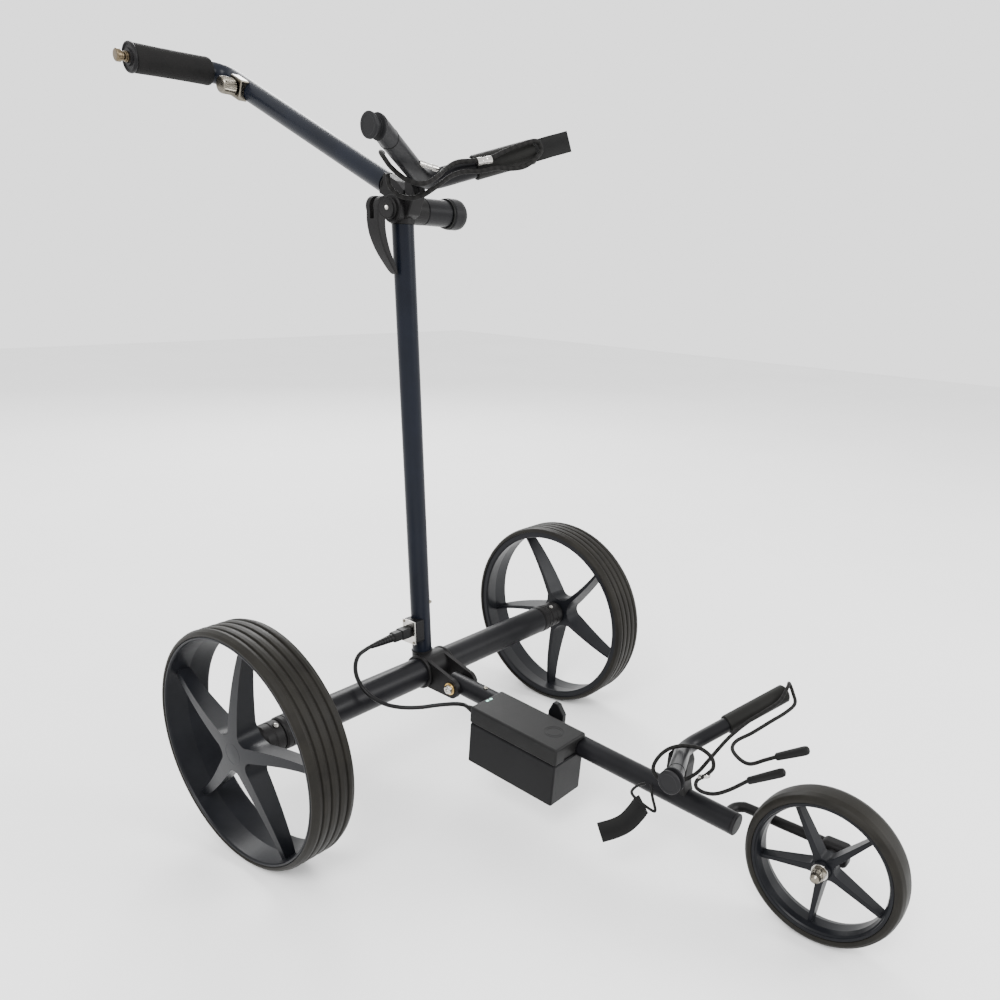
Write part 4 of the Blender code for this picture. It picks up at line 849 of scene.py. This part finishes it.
# clamp
PIN = Vector((-0.0340, O.y, O.z))
sk = rod("v_clamp_skewer", PIN, (0.0770, O.y, O.z), 0.0030, 40)
eye = lathe("eye", [(-0.0030, 0), (-0.0030, 0.0042), (0.0030, 0.0042), (0.0030, 0)], PIN, (0, 1, 0), 48)
join(sk, others=[eye], cuts=[rod("ce", PIN - Vector((0, 0.01, 0)), PIN + Vector((0, 0.01, 0)), 0.0022, 32)])
done(sk, M_STEEL, "clamp_skewer", bevel=0.0002)
done(rod("v_lever_pin", PIN - Vector((0, 0.0118, 0)), PIN + Vector((0, 0.0118, 0)), 0.0026, 48, edge=0.0006),
     M_STEEL, "lever_pin")
done(lathe("v_clamp_washer", [(-0.0213, 0.0034), (-0.0213, 0.0098), (-0.0200, 0.0118), (-0.0183, 0.0118),
                              (-0.0183, 0.0034)], O, X, 80, 0.0005), M_CAST, None, body="chassis")

lever = lathe("v_clamp_lever", [(-0.0110, 0), (-0.0110, 0.0108), (-0.0098, 0.0122), (0.0098, 0.0122),
                                (0.0110, 0.0108), (0.0110, 0)], PIN, (0, 1, 0), 72, 0.0008)
rings = ((0.7380, -0.0445, -0.0300, 0.0104, 0.0285), (0.7300, -0.0456, -0.0330, 0.0105, 0.0285),
         (0.7180, -0.0462, -0.0345, 0.0105, 0.0285), (0.7100, -0.0455, -0.0345, 0.0104, 0.0284),
         (0.7020, -0.0440, -0.0335, 0.0101, 0.0282), (0.6945, -0.0416, -0.0315, 0.0096, 0.0279),
         (0.6870, -0.0385, -0.0290, 0.0090, 0.0275), (0.6800, -0.0348, -0.0260, 0.0084, 0.0270),
         (0.6740, -0.0310, -0.0225, 0.0077, 0.0265), (0.6680, -0.0270, -0.0198, 0.0070, 0.0260),
         (0.6630, -0.0235, -0.0180, 0.0061, 0.0255), (0.6600, -0.0208, -0.0172, 0.0050, 0.0252),
         (0.6588, -0.0196, -0.0172, 0.0038, 0.0250))
bm = bmesh.new()
rows_ = []
for z, xo, xi, hw, yc in rings:
    e = min(0.0022, (xi - xo) * 0.3, hw * 0.35)
    q = [(xo, -1), (xi, -1), (xi, 1), (xo, 1)]
    pts = []
    corners = [Vector((xo, yc - hw)), Vector((xi, yc - hw)), Vector((xi, yc + hw)), Vector((xo, yc + hw))]
    for i in range(4):
        a, b_, c_ = corners[i - 1], corners[i], corners[(i + 1) % 4]
        d0, d1 = (a - b_).normalized(), (c_ - b_).normalized()
        for k in range(4):
            t = k / 3
            p_ = (b_ + d0 * e) * (1 - t) ** 2 + b_ * 2 * t * (1 - t) + (b_ + d1 * e) * t * t
            pts.append(bm.verts.new((p_.x, p_.y, z)))
    rows_.append(pts)
bm.faces.new(rows_[0])
bm.faces.new(rows_[-1])
for r0, r1 in zip(rows_, rows_[1:]):
    for i in range(len(r0)):
        bm.faces.new((r0[i], r0[(i + 1) % len(r0)], r1[(i + 1) % len(r0)], r1[i]))
blade = from_bm(bm, "blade")
blade.matrix_world = Matrix.Translation((0, DY, 0))
join(lever, others=[blade],
     cuts=[block("cf", (PIN.x - 0.02, O.y - 0.0033, O.z - 0.0128), (PIN.x + 0.02, O.y + 0.0033, O.z + 0.02), bevel=0.001),
           rod("cp", PIN - Vector((0, 0.02, 0)), PIN + Vector((0, 0.02, 0)), 0.0027, 40)])
done(lever, M_CAST, "clamp_lever", bevel=0.0004)

# ================================================================ socket and plug
sock = block("v_power_socket", (-0.0225, 0.0045, 0.1850), (-0.0060, 0.0290, 0.2165), bevel=0.0022, segments=4)
join(sock, cuts=[rod("sc", FOOT, TOP, 0.0134, 80),
                 block("sm", (-0.03, 0.0090, 0.1955), (-0.0170, 0.0220, 0.2085))])
done(sock, M_BOX, "power_socket", bevel=0.0003)
fl = block("v_socket_flange", (-0.0248, 0.0035, 0.1840), (-0.0228, 0.0275, 0.2175), bevel=0.0008, segments=3)
join(fl, cuts=[block("sm2", (-0.03, 0.0090, 0.1955), (-0.0170, 0.0220, 0.2085), bevel=0.001)])
done(fl, M_STEEL, "socket_flange")
for k, (yy, zz) in enumerate(((0.0065, 0.1870), (0.0245, 0.2145))):
    done(lathe("v_flange_screw_%d" % k, [(0, 0), (0, 0.0019), (0.0008, 0.0017), (0.0012, 0)],
               (-0.0249, yy, zz), (-1, 0, 0), 24), M_NICKEL, None, body="chassis")
plug = block("v_battery_plug", (PLUG.x - 0.0165, PLUG.y - 0.0070, PLUG.z - 0.0070),
             (PLUG.x, PLUG.y + 0.0070, PLUG.z + 0.0070), bevel=0.0016, segments=4)
pb = block("pb", (PLUG.x - 0.0300, PLUG.y - 0.0062, PLUG.z - 0.0066),
           (PLUG.x - 0.0150, PLUG.y + 0.0062, PLUG.z + 0.0062), bevel=0.0026, segments=5)
ribs = []
prof = [(0.0290, 0), (0.0290, 0.0056)]
for k in range(6):
    t0 = 0.0330 + k * 0.0042
    rr = 0.0055 - 0.00028 * k
    prof += [(t0, rr), (t0 + 0.0006, rr - 0.0009), (t0 + 0.0016, rr - 0.0009), (t0 + 0.0022, rr - 0.0002)]
prof += [(0.0600, 0.0034), (0.0640, 0.0031), (0.0640, 0)]
rel = lathe("rel", prof, PLUG, (-1, 0, -0.02), 56)
join(plug, others=[pb, rel])
done(plug, M_PLUG, "battery_plug", bevel=0.0003)

# ================================================================ handle
def on_handle(s, lift):
    q = O + u * s + n * lift
    return (q.y, q.z)


lug = prism_x("v_handle_lug", [on_handle(0.0325, 0.0050), on_handle(0.0325, 0.0290),
                               on_handle(0.0100, 0.0285), on_handle(-0.0050, 0.0240),
                               on_handle(-0.0080, 0.0170), on_handle(-0.0040, 0.0120),
                               on_handle(0.0060, 0.0050)], -0.0110, 0.0110, bevel=0.0016)
join(lug, cuts=[rod("lb", (-0.03, O.y, O.z), (0.03, O.y, O.z), 0.0164, 96)])
join(lug, others=[rod("lt", (-0.0085, O.y, O.z), (0.0085, O.y, O.z), 0.0122, 72),
                  prism_x("lw", [on_handle(0.0040, 0.0), on_handle(0.0200, 0.0065),
                                 on_handle(0.0180, 0.0200), on_handle(-0.0005, 0.0200),
                                 on_handle(-0.0030, 0.0110), on_handle(-0.0060, 0.0060)],
                          -0.0085, 0.0085),
                  rod("ls", O + u * 0.0300 + n * LIFT, O + u * 0.0326 + n * LIFT, 0.0118, 64)],
     cuts=[rod("lk", (-0.03, O.y, O.z), (0.03, O.y, O.z), 0.0032, 40)])
done(lug, M_CAST, "handle_lug", bevel=0.0006)

start = O + u * 0.0330 + n * LIFT
turn = math.acos(u.dot(g))
side_ = (g - u * g.dot(u)).normalized()
off = 0.0225 * math.tan(turn / 2)
arc0 = BEND - u * off
gi, go = 0.0225, 0.1193
pts = [start, start + u * 0.004] + [start + (arc0 - start) * k / 8 for k in range(1, 9)]
for k in range(1, 24):
    t = turn * k / 24
    pts.append(arc0 + side_ * 0.0225 * (1 - math.cos(t)) + u * 0.0225 * math.sin(t))
pts += [BEND + g * off, BEND + g * (go - 0.0096)]
done(sweep("v_handle_tube", pts, circle(0.0130, 72)), M_COLUMN_PAINTED_SHEEN, "handle_tube")

done(lathe("v_grip", [(gi, 0.0133), (gi, 0.0150), (gi + 0.0012, 0.0161), (gi + 0.0040, 0.0166),
                      (gi + 0.0080, 0.0164), (gi + 0.0400, 0.0162), (go - 0.0300, 0.0163),
                      (go - 0.0060, 0.0167), (go - 0.0020, 0.0166), (go, 0.0158), (go, 0.0133)],
           BEND, g, 96, 0.0010), M_GRIP, "grip")
done(lathe("v_grip_end_cap", [(go + 0.0003, 0.0064), (go + 0.0003, 0.0168), (go + 0.0014, 0.0175),
                              (go + 0.0034, 0.0175), (go + 0.0048, 0.0168), (go + 0.0050, 0.0150),
                              (go + 0.0036, 0.0144), (go + 0.0036, 0.0100), (go + 0.0055, 0.0094),
                              (go + 0.0055, 0.0064)], BEND, g, 96, 0.0004), M_POWDER, "grip_end_cap")
done(lathe("v_speed_stem", [(go - 0.0020, 0), (go - 0.0020, 0.0062), (go + 0.0070, 0.0062),
                            (go + 0.0073, 0.0056), (go + 0.0078, 0.0056), (go + 0.0081, 0.0062),
                            (go + 0.0090, 0.0062), (go + 0.0105, 0.0040), (go + 0.0165, 0.0040),
                            (go + 0.0165, 0)], BEND, g, 64, 0.0003), M_BRONZE, "speed_stem")
done(lathe("v_speed_knob", [(go + 0.0112, 0.0041), (go + 0.0112, 0.0054), (go + 0.0118, 0.0058),
                            (go + 0.0138, 0.0058), (go + 0.0146, 0.0074), (go + 0.0188, 0.0074),
                            (go + 0.0198, 0.0064), (go + 0.0200, 0.0050), (go + 0.0200, 0),
                            (go + 0.0168, 0), (go + 0.0168, 0.0041)], BEND, g, 96, 0.0005), M_BRONZE,
     "speed_knob")

ACC = Vector((0.0, 0.3120, 0.8745))
sad_m = Matrix.Translation(W(ACC)) @ Matrix.Rotation(HS, 4, "X")
sad = block("v_accessory_saddle", (-0.0195, -0.0120, -0.0125), (-0.0070, 0.0120, 0.0125), matrix=sad_m,
            bevel=0.0018, segments=4)
join(sad, others=[rod("st", ACC - X * 0.0180, ACC - X * 0.0330, 0.0030, 40)],
     cuts=[rod("sd", ACC - u * 0.03, ACC + u * 0.03, 0.0136, 96)])
done(sad, M_NICKEL, "accessory_saddle", bevel=0.0003)
# knurled rim: the radius rises and falls round the edge
bm = bmesh.new()
prof = [(0.0398, 0.0), (0.0398, 0.0070), (0.0393, 0.0088), (0.0380, 0.0098), (0.0375, 0.0102),
        (0.0228, 0.0102), (0.0220, 0.0096), (0.0208, 0.0084), (0.0205, 0.0060), (0.0205, 0.0031),
        (0.0334, 0.0031), (0.0334, 0.0)]
N_ = 144
grid = []
for t, r in prof:
    row = []
    for j in range(N_):
        th = 2 * math.pi * j / N_
        rr = r - (0.00045 * (1 + math.cos(24 * th)) if abs(r - 0.0102) < 1e-6 else 0)
        row.append(bm.verts.new((-t, rr * math.cos(th), rr * math.sin(th))))
    grid.append(row)
for i in range(len(prof) - 1):
    for j in range(N_):
        bm.faces.new((grid[i][j], grid[i][(j + 1) % N_], grid[i + 1][(j + 1) % N_], grid[i + 1][j]))
bmesh.ops.remove_doubles(bm, verts=bm.verts, dist=1e-6)
bmesh.ops.dissolve_degenerate(bm, dist=1e-7, edges=bm.edges)
knob = from_bm(bm, "v_accessory_knob")
knob.matrix_world = Matrix.Translation(W(ACC))
done(knob, M_NICKEL, "accessory_knob")


# ================================================================ bag rests
def rest(name, v, arm_, r, end, node_name):
    b0 = 0.16
    left = Vector((-arm_.x, arm_.y, arm_.z))
    ps = [v + left * (end + 0.09), v + left * 0.6, v + left * b0]
    for k in range(1, 16):
        t = k / 16
        ps.append((v + left * b0) * (1 - t) ** 2 + v * 2 * t * (1 - t) + (v + arm_ * b0) * t * t)
    ps += [v + arm_ * b0, v + arm_ * 0.5, v + arm_ * 0.99]
    ob = sweep(name, ps, circle(r, 72))
    t_ = v + left * end
    join(ob, cuts=[block("ce", (t_.x - 0.06, t_.y - 0.05, t_.z - 0.05), (t_.x, t_.y + 0.05, t_.z + 0.05))])
    done(ob, M_TUBE, node_name, bevel=0.0003)
    # seam of the plug that fills the end
    le = left.length * end
    done(lathe(name + "_seam", [(le - 0.0248, r - 0.0004), (le - 0.0246, r + 0.00035), (le - 0.0236, r + 0.00035),
                                (le - 0.0234, r - 0.0004)], v, left, 72, 0.0001), M_SOFT, None,
         body=BODY_OF[node_name])


def spool(name, v, arm_, end, neck, node_name):
    t_ = v + Vector((-arm_.x, arm_.y, arm_.z)) * end
    return done(lathe(name, [(0.0003, 0), (0.0003, 0.0126), (0.0010, 0.0131), (0.0026, 0.0131),
                             (0.0031, 0.0085), (neck, 0.0085), (neck + 0.0003, 0.0122),
                             (neck + 0.0012, 0.0128), (neck + 0.0032, 0.0128), (neck + 0.0040, 0.0118),
                             (neck + 0.0041, 0.0095), (neck + 0.0038, 0.0088), (neck + 0.0038, 0)], t_,
                      (-1, 0, 0), 96, 0.0005), M_KNOB, node_name)


def sleeve(name, v, arm_, t0, r0, r1, node_name):
    L_ = arm_.length
    return done(lathe(name, [(L_ * t0, r0), (L_ * t0, r1 - 0.0006), (L_ * t0 + 0.0012, r1), (L_ * 1.015, r1),
                             (L_ * 1.028, r1 - 0.0018), (L_ * 1.03, r1 - 0.0045), (L_ * 1.03, 0),
                             (L_ * 0.993, 0), (L_ * 0.993, r0)], v, arm_, 96, 0.0008), M_SLEEVE, node_name)


rest("v_upper_support_tube", UP_V, UP_ARM, 0.0112, 0.93, "upper_support_tube")
spool("v_upper_support_spool", UP_V, UP_ARM, 0.93, 0.0102, "upper_support_spool")
sleeve("v_upper_support_sleeve", UP_V, UP_ARM, 0.46, 0.0115, 0.0138, "upper_support_sleeve")
rest("v_lower_support_tube", LOW_V, LOW_ARM, 0.0090, 0.875, "lower_support_tube")
spool("v_lower_support_spool", LOW_V, LOW_ARM, 0.875, 0.0070, "lower_support_spool")
sleeve("v_lower_support_sleeve", LOW_V, LOW_ARM, 0.42, 0.0093, 0.0112, "lower_support_sleeve")

# ferrules on the cords
for name, a, b_, r, body in (("v_upper_ferrule_a", (0.0445, -0.0512, 0.7860), (0.0600, -0.0590, 0.7900), 0.0042, "chassis"),
                             ("v_upper_ferrule_b", (-0.0300, -0.0340, 0.7770), (-0.0060, -0.0380, 0.7735), 0.0034, "chassis"),
                             ("v_lower_ferrule", (-0.0300, -0.4560, 0.1662), (-0.0285, -0.4440, 0.1580), 0.0030, "frame")):
    a, b_ = Vector(a), Vector(b_)
    L_ = (b_ - a).length
    done(lathe(name, [(0, 0.0), (0, r - 0.0004), (0.0006, r), (L_ * 0.32, r), (L_ * 0.38, r - 0.0005),
                      (L_ * 0.62, r - 0.0005), (L_ * 0.68, r), (L_ - 0.0006, r), (L_, r - 0.0004), (L_, 0)],
               a, b_ - a, 48, 0.0003), M_STEEL, None, body=body)


def strap(name, pts, width, thick, wide_dir, mat, node_name, per=6):
    """Woven webbing: a flat band with rounded selvedges, ribs across it in the UV map."""
    path = smooth_path(pts, per)
    sec = []
    for i in range(9):
        sec.append((-width / 2 + width * i / 8, thick / 2 * (1 - 0.25 * (abs(i - 4) / 4) ** 4)))
    for i in range(9):
        sec.append((width / 2 - width * i / 8, -thick / 2 * (1 - 0.25 * (abs(i - 4) / 4) ** 4)))
    ob = sweep(name, path, sec, start_up=wide_dir, yarn=0.0016)
    return done(ob, mat, node_name, angle=50)


ug = Vector((0, UP_ARM.y, UP_ARM.z)).normalized()
ua = UP_ARM.normalized()
tip = UP_V + UP_ARM * 1.035
strap("v_upper_webbing", [tip + ua * 0.0004, tip + ua * 0.012, tip + ua * 0.025 + Vector((0, 0, 0.0002)),
                          tip + ua * 0.038, tip + ua * 0.050], 0.0236, 0.0022, (0, 0, 1), M_WEB, "upper_webbing")
sp_ = [Vector(q) for q in ((-0.0364, -0.3800, 0.1012), (-0.0400, -0.3785, 0.1000), (-0.0476, -0.3775, 0.0952),
                           (-0.0568, -0.3710, 0.0839), (-0.0641, -0.3602, 0.0751),
                           (-0.0728, -0.3463, 0.0679))]
swide = [Vector(q) for q in ((0.0072, -0.0202, -0.0153), (0.0072, -0.0202, -0.0153), (0.0069, -0.0181, -0.0126),
                             (0.0024, -0.0123, -0.0140), (-0.0011, -0.0087, -0.0164),
                             (-0.0054, -0.0031, -0.0176))]


def ribbon(name, pts_, wides, width, thick, per=6):
    """Band whose broad direction is given at each point."""
    path, wp = smooth_path(pts_, per), smooth_path(wides, per)
    n_, k = len(path), 18
    verts, faces, uvs, lens = [], [], [], [0.0]
    for i in range(1, n_):
        lens.append(lens[-1] + (path[i] - path[i - 1]).length)
    for i in range(n_):
        d = (path[min(i + 1, n_ - 1)] - path[max(i - 1, 0)]).normalized()
        w_ = (wp[i] - d * wp[i].dot(d)).normalized()
        t_ = d.cross(w_)
        for m_ in range(9):
            verts.append(W(path[i] + w_ * (-width / 2 + width * m_ / 8)
                           + t_ * thick / 2 * (1 - 0.3 * (abs(m_ - 4) / 4) ** 4)))
        for m_ in range(9):
            verts.append(W(path[i] + w_ * (width / 2 - width * m_ / 8)
                           - t_ * thick / 2 * (1 - 0.3 * (abs(m_ - 4) / 4) ** 4)))
    for i in range(n_ - 1):
        for m_ in range(k):
            m2 = (m_ + 1) % k
            faces.append((i * k + m_, i * k + m2, (i + 1) * k + m2, (i + 1) * k + m_))
            u0, u1 = lens[i] / 0.0016, lens[i + 1] / 0.0016
            uvs += [(u0, m_ / k), (u0, (m_ + 1) / k), (u1, (m_ + 1) / k), (u1, m_ / k)]
    faces.append(tuple(range(k))[::-1])
    uvs += [(0, m_ / k) for m_ in range(k)][::-1]
    faces.append(tuple((n_ - 1) * k + m_ for m_ in range(k)))
    uvs += [(lens[-1] / 0.0016, m_ / k) for m_ in range(k)]
    me = bpy.data.meshes.new(name)
    me.from_pydata([tuple(v) for v in verts], [], faces)
    layer = me.uv_layers.new(name="UVMap")
    for li, uv in enumerate(uvs):
        layer.data[li].uv = uv
    ob = bpy.data.objects.new(name, me)
    bpy.context.scene.collection.objects.link(ob)
    bm_ = bmesh.new()
    bm_.from_mesh(me)
    bmesh.ops.recalc_face_normals(bm_, faces=bm_.faces)
    bm_.to_mesh(me)
    bm_.free()
    return ob


done(ribbon("v_lower_strap", sp_, swide, 0.0230, 0.0018), M_WEB, "lower_strap", angle=50)
ringp = [(-0.0225, -0.3800, 0.1205), (-0.0260, -0.3830, 0.1160), (-0.0283, -0.3865, 0.1085),
         (-0.0303, -0.3925, 0.0945), (-0.0340, -0.3870, 0.0965), (-0.0385, -0.3760, 0.1040),
         (-0.0412, -0.3680, 0.1105), (-0.0398, -0.3655, 0.1150), (-0.0330, -0.3690, 0.1200),
         (-0.0265, -0.3745, 0.1215)]
done(sweep("v_strap_ring", smooth_path(ringp, 6), circle(0.0017, 16)), M_WIRE, "strap_ring")

# ================================================================ frame tube and bracket
ft = rod("v_frame_tube", on_frame(-0.0125), on_frame(0.4246), 0.0129, 96, edge=0.0004)
join(ft, cuts=[rod("cb", (-0.03, B.y, B.z), (0.03, B.y, B.z), 0.0042, 40)])
done(ft, M_TUBE, "frame_tube", bevel=0.0003)
done(lathe("v_frame_end_cap", [(0.0003, 0), (0.0003, 0.0129), (0.0030, 0.0129), (0.0040, 0.0118),
                               (0.0042, 0.0)], on_frame(0.4246), f, 96, 0.0005), M_KNOB, "frame_end_cap")
fb = lathe("v_fold_bolt", [(-0.0255, 0), (-0.0255, 0.0044), (-0.0248, 0.0056), (-0.0232, 0.0064),
                           (-0.0212, 0.0066), (-0.0212, 0.0040), (0.0193, 0.0040), (0.0193, 0.0066),
                           (0.0240, 0.0066), (0.0240, 0)], B, X, 64, 0.0005)
join(fb, cuts=[lathe("hx", [(-0.03, 0), (-0.03, 0.0026), (-0.0232, 0.0026), (-0.0232, 0)], B, X, 6)])
done(fb, M_STEEL, "fold_bolt", bevel=0.0002)
done(lathe("v_fold_washer", [(-0.0209, 0.0043), (-0.0209, 0.0084), (-0.0193, 0.0084), (-0.0193, 0.0043)],
           B, X, 64, 0.0003), M_BRASS, None, body="chassis")
post = prism_x("v_lower_support_bracket", [(q.y, q.z) for q in
               (on_frame(0.3280, 0.0040), on_frame(0.3340, 0.0180), on_frame(0.3330, 0.0540),
                on_frame(0.3400, 0.0620), on_frame(0.3550, 0.0600), on_frame(0.3595, 0.0500),
                on_frame(0.3600, 0.0200), on_frame(0.3660, 0.0040))], -0.0095, 0.0095, bevel=0.0020)
cuts = [rod("pt", on_frame(0.30), on_frame(0.42), 0.0132, 96),
        block("pu", (-0.02, -0.42, -0.03), (0.02, -0.30, 0.0041), matrix=box_m)]
for s_ in (-1, 1):
    d_ = Vector((s_ * LOW_ARM.x, LOW_ARM.y, LOW_ARM.z))
    cuts.append(rod("ps%d" % s_, LOW_V - d_ * 0.16, LOW_V + d_ * 0.5, 0.0095, 64))
join(post, cuts=cuts)
done(post, M_CAST, "lower_support_bracket", bevel=0.0005)
# dome screw on the frame tube
done(lathe("v_tube_screw", [(0.0100, 0), (0.0100, 0.0030), (0.0137, 0.0030), (0.0146, 0.0022), (0.0149, 0)],
           on_frame(0.0460), fn, 32, 0.0004), M_NICKEL, None, body="frame")

# ================================================================ battery box
def in_box(x, s, h):
    return Vector((x, -s, h))


def bx(name, a, b_, bevel=0.0, segments=3):
    lo = Vector((min(a.x, b_.x), min(a.y, b_.y), min(a.z, b_.z)))
    hi = Vector((max(a.x, b_.x), max(a.y, b_.y), max(a.z, b_.z)))
    return block(name, lo, hi, matrix=box_m, bevel=bevel, segments=segments)


def tube_cuts():
    return [rod("tg", on_frame(0.03), on_frame(0.26), 0.0132, 96),
            bx("tsd", in_box(0.0, 0.26, -0.0132), in_box(0.02, 0.03, 0.0132))]


case = bx("v_battery_case", in_box(BOX_W[0] + 0.0008, BOX_S[1] - 0.0008, BOX_H[0]),
          in_box(BOX_W[1] - 0.0008, BOX_S[0] + 0.0008, -0.0036), 0.0024, 4)
join(case, cuts=tube_cuts())
done(case, M_BOX, "battery_case", bevel=0.0003)
lid = bx("v_battery_lid", in_box(BOX_W[0], BOX_S[1], -0.0030), in_box(BOX_W[1], BOX_S[0], BOX_H[1]),
         0.0030, 4)
rec_ = bx("rc", in_box(-0.0400, BOX_S[1] + 0.01, -0.01), in_box(0.01, BOX_S[1] - 0.0030, BOX_H[1] - 0.0060),
          0.0012, 3)
emb = []
for r_ in (0.0085, 0.0115):
    emb.append(lathe("em", [(BOX_H[1] - 0.0003, r_), (BOX_H[1] + 0.002, r_), (BOX_H[1] + 0.002, r_ + 0.0007),
                            (BOX_H[1] - 0.0003, r_ + 0.0007)], on_frame(0.1830, 0, -0.0260), fn, 72))
join(lid, cuts=tube_cuts() + [rec_] + emb)
done(lid, M_LID, "battery_lid", bevel=0.0003)
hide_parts("battery_cells")
for k, s_ in enumerate((0.0760, 0.0760)):
    x_ = -0.0330 + 0.0062 * k
    done(bx("v_status_light_%d" % k, in_box(x_, s_, BOX_H[1] - 0.0006),
            in_box(x_ + 0.0042, s_ + 0.0030, BOX_H[1] + 0.0003), 0.0003), M_LIGHT, None, body="frame")
latch = prism_x("v_battery_latch", [(q.y, q.z) for q in
                (on_frame(0.1420, -0.0050), on_frame(0.1420, 0.0160), on_frame(0.1480, 0.0300),
                 on_frame(0.1560, 0.0300), on_frame(0.1660, 0.0180), on_frame(0.1660, -0.0050))],
                0.0134, 0.0210, bevel=0.0012)
done(latch, M_BOX, "battery_latch")
done(lathe("v_battery_gland", [(0, 0.0), (0, 0.0044), (0.0012, 0.0046), (0.0016, 0.0040), (0.0036, 0.0040),
                               (0.0042, 0.0036), (0.0080, 0.0031), (0.0080, 0)], GLAND, -f, 48, 0.0003),
     M_SOFT, "battery_gland")

# hidden motors keep their own solids, with the motor steel material
for nn in ("motor_right", "motor_left"):
    o_ = frame["nodes"][nn]
    o_.data.materials.clear()
    o_.data.materials.append(M_MOTOR)

# ================================================================ floor, light
bm = bmesh.new()
bmesh.ops.create_grid(bm, x_segments=40, y_segments=40, size=6.0)
floor = from_bm(bm, "floor")
floor.location = (0, 0, -0.0004)
mt, nt, b = material("floor_paint", (0.86, 0.86, 0.86), 0.75, 0.0, 0.2)
c = coords(nt)
vary(nt, b, c, 1.5, (0.85, 0.85, 0.85), (0.88, 0.88, 0.88))
floor.data.materials.append(mt)

world = bpy.data.worlds.new("studio")
bpy.context.scene.world = world
world.use_nodes = True
bg = world.node_tree.nodes.get("Background")
bg.inputs["Color"].default_value = (1, 1, 1, 1)
bg.inputs["Strength"].default_value = 1.9


def area(name, loc, target, size, power, sy=None):
    ld = bpy.data.lights.new(name, "AREA")
    ld.shape = "RECTANGLE"
    ld.size = size
    ld.size_y = sy or size
    ld.energy = power
    lo = bpy.data.objects.new(name, ld)
    bpy.context.scene.collection.objects.link(lo)
    d = (Vector(target) - Vector(loc))
    lo.rotation_euler = d.to_track_quat("-Z", "Y").to_euler()
    lo.location = loc
    return lo


area("key", (-2.2, -1.0, 2.6), (0, 0, 0.4), 1.4, 110)
area("fill", (1.4, -2.4, 1.6), (0, 0, 0.4), 1.2, 60)
area("rim", (1.6, 2.4, 2.2), (0, 0, 0.5), 1.4, 80)
